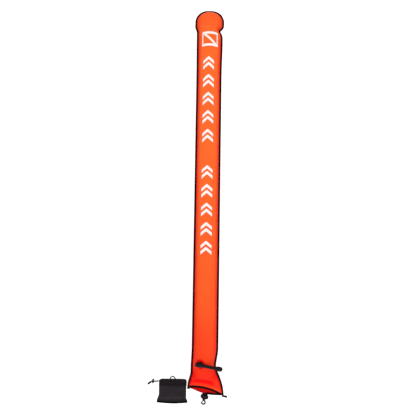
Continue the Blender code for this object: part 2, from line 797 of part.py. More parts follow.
def rubber_hose(material, frame):
    """The hose, which sits in the elbow at one end and in the mouthpiece at the other."""
    low = ELBOW_FRONT - HOSE_GRIP + GAP
    high = ELBOW_FRONT + HOSE_SHOWN + HOSE_GRIP - GAP
    heights = spaced(low, high, 8)
    profile = [(HOSE_RADIUS, h) for h in heights]
    profile += [(HOSE_BORE_RADIUS, h) for h in reversed(heights)]
    lathe("rubber_hose", profile, material, frame, 20)


def mouthpiece(body_color, valve_color, seal_color, steel, frame):
    """The mouthpiece with the valve in it, from the hose's end on."""
    start = ELBOW_FRONT + HOSE_SHOWN
    place = frame @ Matrix.Translation((0, 0, start))
    seat = HOSE_GRIP + VALVE_SEAT
    end = MOUTHPIECE_LENGTH
    hose_socket = HOSE_RADIUS + GAP
    stem_hole = PLUNGER_STEM_RADIUS + GAP
    body = [
        (hose_socket, 0.0),
        (MOUTHPIECE_NECK_RADIUS, 0.0),
        (MOUTHPIECE_NECK_RADIUS + 0.0002, end * 0.15),
        (MOUTHPIECE_RADIUS - 0.0008, end * 0.38),
        (MOUTHPIECE_RADIUS, end * 0.52),
        (MOUTHPIECE_RADIUS, end * 0.66),
        (MOUTHPIECE_RADIUS - 0.0010, end * 0.84),
        (MOUTHPIECE_RIM_RADIUS, end),
        (VALVE_BORE_RADIUS, end),
        (VALVE_BORE_RADIUS, seat),
        (stem_hole, seat),
        (stem_hole, HOSE_GRIP),
        (hose_socket, HOSE_GRIP),
    ]
    lathe("mouthpiece_body", body, body_color, place, 28)
    tip = end + PLUNGER_PROUD
    head = tip - PLUNGER_HEAD_LENGTH
    tail = HOSE_GRIP - GAP - SEAL
    pin = SEAL_RADIUS * 0.4
    plunger = [
        (0.0, tail),
        (pin, tail),
        (pin, HOSE_GRIP - GAP / 2),
        (PLUNGER_STEM_RADIUS, HOSE_GRIP - GAP / 2),
        (PLUNGER_STEM_RADIUS, head),
        (VALVE_BORE_RADIUS - GAP, head),
        (VALVE_BORE_RADIUS - GAP, tip - 0.0008),
        (VALVE_BORE_RADIUS - GAP - 0.0010, tip),
        (VALVE_BORE_RADIUS * 0.4, tip),
        (VALVE_BORE_RADIUS * 0.3, tip - 0.0010),
        (0.0, tip - 0.0012),
    ]
    lathe("valve_plunger", plunger, valve_color, place, 20)
    seal = [
        (pin + GAP, tail),
        (SEAL_RADIUS, tail),
        (SEAL_RADIUS, tail + SEAL),
        (pin + GAP, tail + SEAL),
    ]
    lathe("valve_seal", seal, seal_color, place, 20)
    coil(
        "valve_spring", VALVE_SPRING_RADIUS, VALVE_SPRING_WIRE, seat + GAP, head - GAP,
        VALVE_SPRING_TURNS, steel, place,
    )


# Webbing tab and snap hook


def snap_frame():
    """A frame at the middle of the eye's bar: x to the left, y away from the bag, z up."""
    row = ROWS[0]
    share = (TAB_X - row.centre) / row.half
    lip = row.y - BACK_LIP_BOW * (1 - share**2) - MOUTH_HANG * share**2
    lip -= math.tan(math.radians(MOUTH_SKEW)) * (TAB_X - row.centre)
    height = BOSS_RADIUS + GAP
    turn = math.radians(TAB_ANGLE)
    x = Vector((-math.cos(turn), math.sin(turn), 0))
    y = Vector((-math.sin(turn), -math.cos(turn), 0))
    axes = Matrix((x, y, Vector((0, 0, 1)))).transposed().to_4x4()
    return Matrix.Translation((TAB_X, lip - TAB_REACH, height)) @ axes


def webbing_tab(material, frame):
    """A strap folded round the eye's bar, both its ends sewn under the back lip."""
    bar_height = frame.translation.z
    turn = EYE_BAR_RADIUS + GAP + WEBBING / 2
    low = GAP + WEBBING / 2 - bar_height
    high = low + WEBBING + GAP
    sewn = -TAB_REACH - TAB_SEWN + LIP_TAPE_WIDTH
    under_lip = -TAB_REACH + 0.0015
    profile = [(sewn, low), (under_lip, low)]
    profile += turn_towards((0.0, 0.0), turn, (under_lip, high), 10)
    profile += [(under_lip, high), (sewn, high)]
    line = [Vector((0, y, z)) for y, z in profile]
    strap("webbing_tab", line, (1, 0, 0), WEBBING_WIDTH, WEBBING, material, frame)


def swivel_eye(material, frame):
    """The eye: a bar for the webbing and a boss for the hook's stem, in one moulding."""
    wide, arm = EYE_HALF_WIDTH, EYE_ARM
    boss = BOSS_RADIUS + 0.0014
    back = -EYE_BAR_RADIUS - 0.0005
    outline = [
        (-wide + 0.001, back), (wide - 0.001, back), (wide, back + 0.0015),
        (wide, EYE_SHOULDER), (boss, EYE_LENGTH), (-boss, EYE_LENGTH), (-wide, EYE_SHOULDER),
        (-wide, back + 0.0015),
    ]
    inner = wide - arm
    pocket = STEM_HEAD_RADIUS + 0.0008
    slot = [
        (-inner, back - 0.002), (inner, back - 0.002), (inner, EYE_SLOT), (pocket, EYE_SLOT),
        (pocket, EYE_SLOT_REACH), (-pocket, EYE_SLOT_REACH), (-pocket, EYE_SLOT),
        (-inner, EYE_SLOT),
    ]
    eye = prism("swivel_eye", outline, -EYE / 2, EYE / 2, material, frame)
    combine(eye, prism("eye_slot", slot, -EYE, EYE, material, frame), "DIFFERENCE")
    across = frame @ Matrix.Rotation(math.radians(90), 4, "Y")
    reach = inner + arm / 2
    bar = [(0.0, -reach), (EYE_BAR_RADIUS, -reach), (EYE_BAR_RADIUS, reach), (0.0, reach)]
    combine(eye, lathe("eye_bar", bar, material, across, 16), "UNION")
    along = frame @ Matrix.Rotation(math.radians(-90), 4, "X")
    low = EYE_SLOT_REACH + 0.0004
    barrel = [(0.0, low), (BOSS_RADIUS, low), (BOSS_RADIUS, BOSS_END), (0.0, BOSS_END)]
    combine(eye, lathe("eye_boss", barrel, material, along, 24), "UNION")
    hole = STEM_RADIUS + GAP
    bore = [(0.0, low - 0.002), (hole, low - 0.002), (hole, BOSS_END + 0.001)]
    bore += [(0.0, BOSS_END + 0.001)]
    combine(eye, lathe("eye_bore", bore, material, along, 20), "DIFFERENCE")


def snap_hook(material, frame):
    """The hook: a stem with a head that stays in the eye, a collar and an open ring."""
    along = frame @ Matrix.Rotation(math.radians(-90), 4, "X")
    head = EYE_SLOT_REACH - GAP - STEM_HEAD
    collar = BOSS_END + GAP
    top = collar + COLLAR
    stem = [
        (0.0, head),
        (STEM_HEAD_RADIUS - 0.0006, head),
        (STEM_HEAD_RADIUS, head + 0.0006),
        (STEM_HEAD_RADIUS, head + STEM_HEAD),
        (STEM_RADIUS, head + STEM_HEAD),
        (STEM_RADIUS, collar),
        (BOSS_RADIUS, collar),
        (BOSS_RADIUS, top),
        (0.0, top),
    ]
    hook = lathe("snap_hook", stem, material, along, 24)
    wide, deep, thick = HOOK_HALF_WIDTH, HOOK_DEPTH, HOOK_RADIUS
    block = [
        (-wide * 0.55, top - 0.0008), (GATE_PIVOT_SIDE + 0.0022, top - 0.0008),
        (GATE_PIVOT_SIDE + 0.0022, top + 0.0038), (GATE_PIVOT_SIDE, top + 0.0046),
        (-wide * 0.35, top + 0.0046),
    ]
    combine(
        hook, prism("hook_block", block, -thick - 0.0004, thick + 0.0004, material, frame), "UNION"
    )
    route = [
        (-0.0008, top), (-wide * 0.62, top + 0.0030), (-wide, top + deep * 0.42),
        (-wide * 0.94, top + deep * 0.78), (-wide * 0.36, top + deep),
        (wide * 0.42, top + deep * 0.97), (wide * 0.92, top + deep * 0.76),
        (wide, top + deep * 0.58),
    ]
    line = curve_through([(x, y, 0) for x, y in route], 4)
    radii = [mix(thick, thick * 0.86, smooth(i, len(line) * 0.6, len(line))) for i in range(len(line))]
    ring = sweep("hook_ring", round_rings(line, radii, Vector((0, 0, 1))), material, frame)
    combine(hook, ring, "UNION")
    pivot_x, pivot_y = GATE_PIVOT_SIDE, top + GATE_PIVOT_DROP - COLLAR
    notch_half = GATE_WIDTH / 2 + GAP
    notch = [
        (pivot_x - GATE_ROOT_RADIUS - 2 * GAP, pivot_y - GATE_ROOT_RADIUS - GAP),
        (pivot_x + 0.006, pivot_y - GATE_ROOT_RADIUS - GAP),
        (pivot_x + 0.006, pivot_y + 0.006),
        (pivot_x - GATE_ROOT_RADIUS - 2 * GAP, pivot_y + 0.006),
    ]
    combine(hook, prism("gate_notch", notch, -notch_half, notch_half, material, frame), "DIFFERENCE")
    pivot = frame @ Matrix.Translation((pivot_x, pivot_y, 0))
    hole = GATE_PIN_RADIUS + GAP
    drill = [(0.0, -0.01), (hole, -0.01), (hole, 0.01), (0.0, 0.01)]
    combine(hook, lathe("pin_hole", drill, material, pivot, 16), "DIFFERENCE")
    return pivot


def snap_gate(gate_color, steel, frame):
    """The gate that closes the hook's ring from inside, and the pin it turns on."""
    half = GATE_WIDTH / 2
    root = GATE_ROOT_RADIUS
    disc = [(0.0, -half), (root, -half), (root, half), (0.0, half)]
    gate = lathe("snap_gate", disc, gate_color, frame, 24)
    tip = (GATE_LENGTH * GATE_LEAN + 0.0002, GATE_LENGTH)
    arm = [
        (-GATE * 0.35, 0.0), (GATE * 0.65, 0.0), (tip[0] + GATE / 2, tip[1] - 0.0006),
        (tip[0] + GATE * 0.2, tip[1]), (tip[0] - GATE / 2, tip[1] - 0.0004),
    ]
    combine(gate, prism("gate_arm", arm, -half + 0.0001, half - 0.0001, gate_color, frame), "UNION")
    hole = GATE_PIN_RADIUS + GAP
    drill = [(0.0, -0.01), (hole, -0.01), (hole, 0.01), (0.0, 0.01)]
    combine(gate, lathe("gate_bore", drill, gate_color, frame, 16), "DIFFERENCE")
    length = HOOK_RADIUS + 0.0002
    pin = [(0.0, -length), (GATE_PIN_RADIUS, -length), (GATE_PIN_RADIUS, length), (0.0, length)]
    lathe("gate_pin", pin, steel, frame, 16)


# Storage pouch


def pouch_row(from_bottom):
    """The pouch's cross-section at a distance from its bottom edge."""
    flare_left = 1.0 - smooth(from_bottom, POUCH_FLARE_START, POUCH_FLARE_LEFT)
    flare_right = 1.0 - smooth(from_bottom, POUCH_FLARE_START, POUCH_FLARE_RIGHT)
    share = min(1.0, max(0.0, (from_bottom - POUCH_SEAM) / POUCH_SWELL))
    swell = math.sin(math.pi / 2 * share)
    closing = 1.0 - smooth(POUCH_LENGTH - from_bottom, 0.0, POUCH_TOP_TAPER)
    hemmed = 1.0 - smooth(POUCH_LENGTH - from_bottom, HEM_WIDTH, HEM_WIDTH + 0.010)
    flat = GAP / 2 + POUCH_WALL
    thick = mix(flat, mix(POUCH_THICKNESS, POUCH_TOP_THICKNESS, closing) / 2, swell)
    under_seam = TAPE + 2 * GAP
    bottom = mix(under_seam, (HEM + 2 * GAP) * hemmed, smooth(share, 0.0, 0.3))
    return SimpleNamespace(
        share=from_bottom / POUCH_LENGTH,
        left=mix(POUCH_HALF_WIDTH, POUCH_SEAM_LEFT, flare_left),
        right=mix(POUCH_HALF_WIDTH, POUCH_SEAM_RIGHT, flare_right),
        thick=thick,
        middle=bottom + thick,
        crown=POUCH_CROWN * swell * (1.0 - 0.6 * closing),
    )


def pouch_columns(face_strips):
    """Places across a panel of the pouch: -1 is the left side fold, 1 the right one."""
    bend = spaced(0.0, POUCH_SIDE_SHARE, POUCH_SIDE_STRIPS)
    face = spaced(POUCH_SIDE_SHARE, 1.0, face_strips)
    left = [u - 1.0 for u in bend + face[1:]]
    return left + [-u for u in reversed(left[:-1])]


def pouch_point(row, u, side, inset=0.0):
    """A point of the pouch's front (side 1) or back (side -1), or inset below it. The
    section has round sides and a slightly crowned front."""
    reach = 1.0 - abs(u)
    turn = math.pi / 2 * min(1.0, reach / POUCH_SIDE_SHARE)
    face = max(0.0, (reach - POUCH_SIDE_SHARE) / (1.0 - POUCH_SIDE_SHARE))
    half = row.left if u < 0.0 else row.right
    straight = half - row.thick
    radius = row.thick - inset
    across = straight * (1.0 - face) + radius * math.cos(turn)
    up = radius * math.sin(turn)
    if side > 0:
        up += row.crown * (1.0 - (1.0 - face) ** 2)
    along_rim = row.thick * turn + straight * face
    top = -POUCH_CORNER_DIP * (1.0 - smooth(along_rim, 0.0, POUCH_DIP_SPAN))
    width = straight * (1.0 - face) + row.thick * math.cos(turn)
    bottom = -POUCH_SEAM_BOW * (1.0 - (width / half) ** 2)
    y = POUCH_TOP_Y - POUCH_LENGTH * (1.0 - row.share) + mix(bottom, top, row.share)
    x = POUCH_X + math.copysign(across, u)
    return Vector((x, y, row.middle + side * up))


def pouch_panel(name, side, material):
    """The pouch's front or back panel, as a shell of its outer and inner surface."""
    swell = [POUCH_SEAM + POUCH_SWELL * k for k in (0.0, 0.12, 0.25, 0.45, 0.7, 1.0)]
    hemmed = [POUCH_LENGTH - k for k in (0.036, 0.025, 0.018, 0.012, PANEL_BELOW_RIM)]
    rows = [pouch_row(place) for place in [0.0] + swell + hemmed]
    columns = pouch_columns(POUCH_FACE_STRIPS)
    bm = bmesh.new()
    grids = []
    for inset in (0.0, POUCH_WALL):
        grid = []
        for row in rows:
            line = [pouch_point(row, u, side, inset) for u in columns]
            for point in line:
                up = max(GAP / 2, (point.z - row.middle) * side)
                point.z = row.middle + side * up
            grid.append([bm.verts.new(point) for point in line])
        grids.append(grid)
        for one, other in zip(grid, grid[1:]):
            skin_strip(bm, one, other)
    outer, inner = grids
    skin_strip(bm, outer[0], inner[0])
    skin_strip(bm, outer[-1], inner[-1])
    skin_strip(bm, [line[0] for line in outer], [line[0] for line in inner])
    skin_strip(bm, [line[-1] for line in outer], [line[-1] for line in inner])
    bmesh.ops.recalc_face_normals(bm, faces=bm.faces)
    add_piece(name, bm, material)


def pouch_binding(material):
    """The tape folded over the pouch's bottom edge."""
    row = pouch_row(0.0)
    outline = folded_tape(GAP + TAPE, -POUCH_SEAM + 2 * GAP, 2 * row.thick)
    line = [pouch_point(row, u, 1) for u in pouch_columns(HEM_FACE_STRIPS)]
    line = line[POUCH_SIDE_STRIPS:-POUCH_SIDE_STRIPS]
    rings = []
    for i, point in enumerate(line):
        ahead = line[min(i + 1, len(line) - 1)] - line[max(i - 1, 0)]
        out = Vector((ahead.y, -ahead.x, 0)).normalized()
        edge = Vector((point.x, point.y, row.middle))
        rings.append([edge + out * a + Vector((0, 0, b)) for a, b in outline])
    sweep("pouch_binding", rings, material)


def hem_section(u, side):
    """The hem's outline at a place round the pouch's mouth: an outer leg, a fold over
    the cord and a short inner leg."""
    legs = [pouch_row(POUCH_LENGTH - k) for k in (HEM_WIDTH, 0.018, 0.012, 0.006, 0.0)]
    turned = [pouch_row(POUCH_LENGTH - k) for k in (HEM_TURN_IN, HEM)]
    tunnel = 2 * CORD_RADIUS + GAP
    points = [pouch_point(row, u, side, -GAP - HEM) for row in legs]
    points.append(pouch_point(legs[-1], u, side, tunnel + HEM))
    points.append(pouch_point(turned[0], u, side, tunnel + HEM))
    points += [pouch_point(row, u, side, tunnel) for row in turned]
    points.append(pouch_point(turned[1], u, side, -GAP))
    points += [pouch_point(row, u, side, -GAP) for row in reversed(legs[:-1])]
    return points


def pouch_hem(material):
    """The folded band round the pouch's mouth, with the hole that the cord leaves by."""
    columns = pouch_columns(HEM_FACE_STRIPS)
    places = [(u, 1) for u in columns] + [(u, -1) for u in columns[-2:0:-1]]
    sections = [hem_section(u, side) for u, side in places]
    hem = sweep("pouch_hem", sections, material, closed=True)
    row = cord_row()
    radius = row.thick - CORD_RADIUS
    tall = radius * math.sin(math.radians(CORD_EXIT_ANGLE)) + CORD_RADIUS + GAP
    wide = CORD_RADIUS + GAP
    slot = [(-0.0026, -wide), (0.0026, -wide), (0.0026, wide), (-0.0026, wide)]
    exit_u = -1.0 + POUCH_SIDE_SHARE * math.radians(CORD_EXIT_ANGLE) / (math.pi / 2)
    middle = pouch_point(row, -1.0, 1, CORD_RADIUS)
    middle.y = pouch_point(row, exit_u, 1, CORD_RADIUS).y
    place = Matrix.Translation(middle + Vector((-0.0022, 0, 0)))
    combine(hem, prism("cord_exit", slot, -tall, tall, material, place), "DIFFERENCE")


def cord_row():
    """The pouch's section at the middle of the hem's tunnel."""
    return pouch_row(POUCH_LENGTH - HEM - 3 * GAP - CORD_RADIUS)


def carry_loop(material):
    """A short cord loop, sewn by both ends into the pouch's mouth."""
    inside = 2 * CORD_RADIUS + HEM + 2 * GAP
    back = pouch_point(pouch_row(POUCH_LENGTH), 0.0, -1, inside)
    height = back.z + CARRY_LOOP_RADIUS + 2 * GAP
    wide = CARRY_LOOP_HALF_WIDTH
    route = [
        (-wide * 0.86, -CARRY_LOOP_SEWN), (-wide * 0.90, -CARRY_LOOP_SEWN * 0.5),
        (-wide * 0.92, 0.0), (-wide * 0.72, CARRY_LOOP_HEIGHT * 0.62),
        (-wide * 0.16, CARRY_LOOP_HEIGHT), (wide * 0.46, CARRY_LOOP_HEIGHT * 0.66),
        (wide * 0.92, 0.0), (wide * 0.90, -CARRY_LOOP_SEWN * 0.5),
        (wide * 0.86, -CARRY_LOOP_SEWN),
    ]
    line = curve_through(
        [(POUCH_X + x, POUCH_TOP_Y + y, height) for x, y in route], 2
    )
    round_cord("carry_loop", line, CARRY_LOOP_RADIUS, material)


# Drawcord and cord lock


def drawcord(material):
    """The cord in the hem and its two tails, which run through the lock to the end."""
    row = cord_row()
    columns = pouch_columns(HEM_FACE_STRIPS)
    leaves = math.radians(CORD_EXIT_ANGLE)
    apart = leaves + 2 * GAP / (row.thick - CORD_RADIUS)
    first = -1.0 + POUCH_SIDE_SHARE * apart / (math.pi / 2)
    inner = [u for u in columns if u > first + 0.02]
    places = [(first, 1)] + [(u, 1) for u in inner]
    places += [(u, -1) for u in reversed(inner[:-1])] + [(first, -1)]
    held = [pouch_point(row, u, side, CORD_RADIUS) for u, side in places]
    round_cord("drawcord_hem", held, CORD_RADIUS, material)

    start_u = -1.0 + POUCH_SIDE_SHARE * leaves / (math.pi / 2)
    lean = math.radians(CORD_END_ANGLE)
    heading = Vector((-math.cos(lean), -math.sin(lean), 0))
    for name, side in (("cord_tail_upper", 1), ("cord_tail_lower", -1)):
        start = pouch_point(row, start_u, side, CORD_RADIUS)
        line = []
        for angle in spaced(math.pi / 2 - leaves, 0.0, 3):
            full = math.pi / 2 - leaves
            along = CORD_EXIT_BEND * (math.sin(full) - math.sin(angle))
            down = CORD_EXIT_BEND * (math.cos(angle) - math.cos(full))
            line.append(start + Vector((-along, 0, -side * down)))
        leaving = line[-1]
        height = (leaving.z - row.middle) * side
        for share in (0.12, 0.28, 0.46, 0.64, 0.82, 1.0):
            twist = math.pi / 2 * (1.0 - smooth(share, 0.1, 0.95))
            apart = mix(height, CORD_SPACING / 2, smooth(share, 0.1, 0.6))
            x = mix(leaving.x, CORD_TWIST_X, share)
            y = mix(leaving.y, LOCK_Y, share) + side * apart * math.cos(twist)
            z = mix(row.middle, CORD_HEIGHT, smooth(share, 0.0, 1.0))
            line.append(Vector((x, y, z + side * apart * math.sin(twist))))
        beside = Vector((-heading.y, heading.x, 0)) * -side * CORD_SPACING / 2
        mouth = Vector((CORD_END_X, CORD_END_Y, CORD_HEIGHT)) + beside
        y = LOCK_Y + side * CORD_SPACING / 2
        line += [Vector((LOCK_X + k, y, CORD_HEIGHT)) for k in (0.009, 0.003, -0.002)]
        line.append(Vector((LOCK_X - LOCK_RADIUS - 0.0004, y, CORD_HEIGHT)))
        line += [mouth + heading * k for k in (0.0002, 0.0042)]
        round_cord(name, line, CORD_RADIUS, material)


def cord_lock(body_color, steel):
    """The barrel that grips both tails: body, spring plunger and spring."""
    place = frame_along((LOCK_X, LOCK_Y, CORD_HEIGHT), (0, 1, 0), (1, 0, 0))
    bore, floor = LOCK_BORE_RADIUS, -LOCK_FLOOR
    reach = CORD_SPACING / 2 + CORD_RADIUS + GAP
    tall = CORD_RADIUS + GAP
    low = -reach - 0.0008
    step = low - LOCK_TRAVEL - GAP
    body = [
        (0.0, -LOCK_TIP),
        (LOCK_RADIUS * 0.45, -LOCK_TIP + 0.0004),
        (LOCK_RADIUS * 0.72, -LOCK_TIP * 0.82),
        (LOCK_RADIUS * 0.92, -LOCK_TIP * 0.54),
        (LOCK_RADIUS, -LOCK_TIP * 0.2),
        (LOCK_RADIUS, LOCK_TOP * 0.4),
        (LOCK_RADIUS * 0.88, LOCK_TOP),
        (bore, LOCK_TOP),
        (bore, step),
        (LOCK_SPRING_BORE_RADIUS, step),
        (LOCK_SPRING_BORE_RADIUS, floor),
        (0.0, floor),
    ]
    lock = lathe("cord_lock_body", body, body_color, place, 24)
    across = frame_along((LOCK_X, LOCK_Y, CORD_HEIGHT), (1, 0, 0), (0, 1, 0))
    hole = [(-reach, -tall), (reach, -tall), (reach, tall), (-reach, tall)]
    combine(lock, prism("lock_hole", hole, -0.01, 0.01, body_color, across), "DIFFERENCE")
    tip = LOCK_TOP + LOCK_TRAVEL + BUTTON + GAP
    plunger = [
        (0.0, low),
        (bore - GAP, low),
        (bore - GAP, tip - BUTTON),
        (BUTTON_RADIUS, tip - BUTTON),
        (BUTTON_RADIUS, tip - BUTTON * 0.3),
        (BUTTON_RADIUS * 0.8, tip),
        (0.0, tip),
    ]
    button = lathe("cord_lock_plunger", plunger, body_color, place, 24)
    slot = [(-reach, -tall), (reach + LOCK_TRAVEL, -tall)]
    slot += [(reach + LOCK_TRAVEL, tall), (-reach, tall)]
    combine(button, prism("plunger_slot", slot, -0.01, 0.01, body_color, across), "DIFFERENCE")
    coil(
        "cord_lock_spring", LOCK_SPRING_BORE_RADIUS - GAP - LOCK_SPRING_WIRE / 2,
        LOCK_SPRING_WIRE, floor + GAP, low - GAP, LOCK_SPRING_TURNS, steel, place,
    )


def cord_end(material):
    """The moulded end that holds both tails together."""
    lean = math.radians(CORD_END_ANGLE)
    heading = Vector((-math.cos(lean), -math.sin(lean), 0))
    place = frame_along((CORD_END_X, CORD_END_Y, CORD_HEIGHT), heading, (0, 0, 1))
    length, radius = CORD_END_LENGTH, CORD_END_RADIUS
    hollow = CORD_SPACING / 2 + CORD_RADIUS + GAP
    profile = [
        (hollow, 0.0),
        (radius * 0.72, 0.0),
        (radius * 0.86, length * 0.12),
        (radius, length * 0.45),
        (radius, length * 0.75),
        (radius * 0.72, length * 0.93),
        (radius * 0.3, length),
        (0.0, length),
        (0.0, 0.0050),
        (hollow, 0.0050),
    ]
    lathe("cord_end", profile, material, place, 24)


def build():
    clear_scene()
    orange = make_material("coated_nylon", (1.0, 0.16, 0.03), 0.45)
    inner_orange = make_material("baffle_nylon", (0.85, 0.08, 0.03), 0.5)
    tape = make_material("binding_tape", (0.015, 0.012, 0.014), 0.8)
    webbing = make_material("webbing", (0.02, 0.02, 0.022), 0.85)
    rubber = make_material("rubber", (0.03, 0.03, 0.033), 0.6)
    plastic = make_material("moulded_plastic", (0.02, 0.02, 0.022), 0.45)
    seal = make_material("silicone_seal", (0.5, 0.5, 0.5), 0.5)
    steel = make_material("stainless_steel", (0.6, 0.6, 0.62), 0.3, 1.0)
    pouch = make_material("pouch_nylon", (0.035, 0.03, 0.033), 0.75)
    cord = make_material("cord", (0.02, 0.02, 0.02), 0.85)

    front = bag_panel("front_panel", 1, orange)
    bag_panel("back_panel", -1, orange)
    edge_binding(tape)
    lip_binding("front_lip_binding", 1, tape)
    lip_binding("back_lip_binding", -1, tape)
    baffle("front_baffle", 1, inner_orange)
    baffle("back_baffle", -1, inner_orange)
    tape_loop(
        "corner_loop", "right", CORNER_LOOP_SHARE, CORNER_LOOP_ANGLE, CORNER_LOOP_LENGTH, tape
    )
    tape_loop(
        "corner_tail", "left", CORNER_TAIL_SHARE, CORNER_TAIL_ANGLE, CORNER_TAIL_LENGTH, tape
    )

    spigot, hose = inflator_frames()
    drill = [(0.0, -0.01), (AIR_BORE_RADIUS, -0.01), (AIR_BORE_RADIUS, 0.01), (0.0, 0.01)]
    combine(front, lathe("air_hole", drill, orange, spigot, 24), "DIFFERENCE")
    inflator_patch(orange, spigot)
    inflator_hub(rubber, spigot)
    inflator_elbow(plastic, spigot, hose)
    rubber_hose(rubber, hose)
    mouthpiece(plastic, plastic, seal, steel, hose)

    snap = snap_frame()
    webbing_tab(webbing, snap)
    swivel_eye(plastic, snap)
    gate_pivot = snap_hook(plastic, snap)
    snap_gate(plastic, steel, gate_pivot)

    pouch_panel("pouch_front", 1, pouch)
    pouch_panel("pouch_back", -1, pouch)
    pouch_binding(tape)
    pouch_hem(pouch)
    carry_loop(cord)
    drawcord(cord)
    cord_lock(plastic, steel)
    cord_end(plastic)


build()
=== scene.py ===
"""Looks of an inflatable surface marker buoy with its oral inflator, snap hook and
storage pouch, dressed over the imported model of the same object."""

import math
from functools import partial
from types import SimpleNamespace

import bmesh
import bpy
from mathutils import Matrix, Vector, noise


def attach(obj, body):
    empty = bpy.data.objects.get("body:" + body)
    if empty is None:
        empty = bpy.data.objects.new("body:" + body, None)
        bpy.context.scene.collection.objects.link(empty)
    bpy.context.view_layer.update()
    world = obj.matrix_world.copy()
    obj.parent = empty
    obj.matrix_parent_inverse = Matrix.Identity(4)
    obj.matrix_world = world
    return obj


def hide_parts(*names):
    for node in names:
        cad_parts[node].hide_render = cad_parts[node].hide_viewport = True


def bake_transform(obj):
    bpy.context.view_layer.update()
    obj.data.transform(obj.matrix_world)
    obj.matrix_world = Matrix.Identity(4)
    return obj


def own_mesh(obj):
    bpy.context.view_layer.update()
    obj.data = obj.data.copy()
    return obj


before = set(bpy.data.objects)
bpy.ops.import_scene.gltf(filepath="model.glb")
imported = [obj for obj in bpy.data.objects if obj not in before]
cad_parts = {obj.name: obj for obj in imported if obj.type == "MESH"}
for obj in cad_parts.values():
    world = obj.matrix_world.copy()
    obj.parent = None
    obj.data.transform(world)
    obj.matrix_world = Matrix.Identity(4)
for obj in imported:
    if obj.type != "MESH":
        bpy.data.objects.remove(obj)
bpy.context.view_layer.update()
bpy.ops.object.select_all(action="DESELECT")


# The studio: a pale floor, an even white surround and one broad soft lamp above.
# The camera looks down on the buoy from over its middle, a little tilted and rolled.

CAMERA_PLACE = Vector((0.0044, -0.1954, 1.75))
CAMERA_TILT = math.radians(4.5)
CAMERA_ROLL = math.radians(0.83)
CAMERA_LENS = 31.614
FLOOR_SIZE = 14.0
FLOOR_DROP = 0.0002
FLOOR_GLOW = 0.60
SURROUND_LIGHT = 0.66
LAMP_LIGHT = 1.20
LAMP_SOFTNESS = math.radians(50)


def feed(tree, made, feeds):
    """Sets inputs of a node; each feed is a value or the socket that drives it."""
    for socket, value in feeds.items():
        if isinstance(value, bpy.types.NodeSocket):
            tree.links.new(value, made.inputs[socket])
        else:
            made.inputs[socket].default_value = value
    return made


def node(tree, kind, feeds=None, **settings):
    """Adds a shader node with its settings and feeds."""
    made = tree.nodes.new("ShaderNode" + kind)
    for name, value in settings.items():
        setattr(made, name, value)
    return feed(tree, made, feeds or {})


def sum_of(tree, operation, *values):
    """The output of a Math node with these inputs."""
    return node(tree, "Math", dict(enumerate(values)), operation=operation).outputs[0]


def seen_directly(tree):
    """1 for what the camera, a reflection or a refraction looks at."""
    path = node(tree, "LightPath").outputs
    glossy = sum_of(tree, "MAXIMUM", path["Is Camera Ray"], path["Is Glossy Ray"])
    return sum_of(tree, "MAXIMUM", glossy, path["Is Transmission Ray"])


camera_data = bpy.data.cameras.new("camera")
camera_data.lens = CAMERA_LENS
camera_data.sensor_width = 36.0
camera = bpy.data.objects.new("camera", camera_data)
bpy.context.scene.collection.objects.link(camera)
ahead = Vector((0, math.sin(CAMERA_TILT), -math.cos(CAMERA_TILT)))
level = Vector((0, math.cos(CAMERA_TILT), math.sin(CAMERA_TILT)))
right = Vector((1, 0, 0)) * math.cos(CAMERA_ROLL) + level * math.sin(CAMERA_ROLL)
axes = Matrix((right, -ahead.cross(right), -ahead)).transposed().to_4x4()
camera.matrix_world = Matrix.Translation(CAMERA_PLACE) @ axes
bpy.context.scene.camera = camera
bpy.context.scene.view_settings.view_transform = "Standard"

world = bpy.data.worlds.new("surround")
world.use_nodes = True
bpy.context.scene.world = world
sky = world.node_tree
brightness = node(
    sky, "MapRange", {"Value": seen_directly(sky), "To Min": SURROUND_LIGHT, "To Max": 1.0},
)
feed(sky, sky.nodes["Background"], {
    "Color": (1, 1, 1, 1), "Strength": brightness.outputs["Result"],
})

lamp_data = bpy.data.lights.new("overhead_lamp", "SUN")
lamp_data.energy = LAMP_LIGHT
lamp_data.angle = LAMP_SOFTNESS
lamp = bpy.data.objects.new("overhead_lamp", lamp_data)
lamp.rotation_euler = (math.radians(10), math.radians(5), 0)
bpy.context.scene.collection.objects.link(lamp)

bpy.ops.mesh.primitive_plane_add(size=FLOOR_SIZE, location=(0, 0, -FLOOR_DROP))
floor = bpy.context.object
floor.name = "floor"
paper = bpy.data.materials.new("white_paper")
paper.use_nodes = True
tree = paper.node_tree
grain = node(tree, "TexNoise", {
    "Vector": node(tree, "TexCoord").outputs["Object"], "Scale": 3.0, "Detail": 4.0,
})
paper_tone = node(
    tree, "MixRGB", {0: grain.outputs[0], 1: (0.86, 0.86, 0.86, 1), 2: (0.90, 0.90, 0.90, 1)},
)
plain = feed(tree, tree.nodes["Principled BSDF"], {
    "Base Color": paper_tone.outputs[0], "Roughness": 0.9, "Specular IOR Level": 0.0,
}).outputs[0]
glow = node(tree, "Emission", {"Color": (1, 1, 1, 1), "Strength": FLOOR_GLOW})
lit = node(tree, "AddShader", {0: plain, 1: glow.outputs[0]})
shown = node(tree, "MixShader", {0: seen_directly(tree), 1: plain, 2: lit.outputs[0]})
feed(tree, tree.nodes["Material Output"], {"Surface": shown.outputs[0]})
floor.data.materials.append(paper)


# The pouch's drawcord: a black braided polyester cord, 2.2 mm thick in the hem. Its two
# tails leave the hem together by a slot, pass the lock and end in one moulded end. The
# carry loop is a thicker cord, sewn by both ends into the mouth.

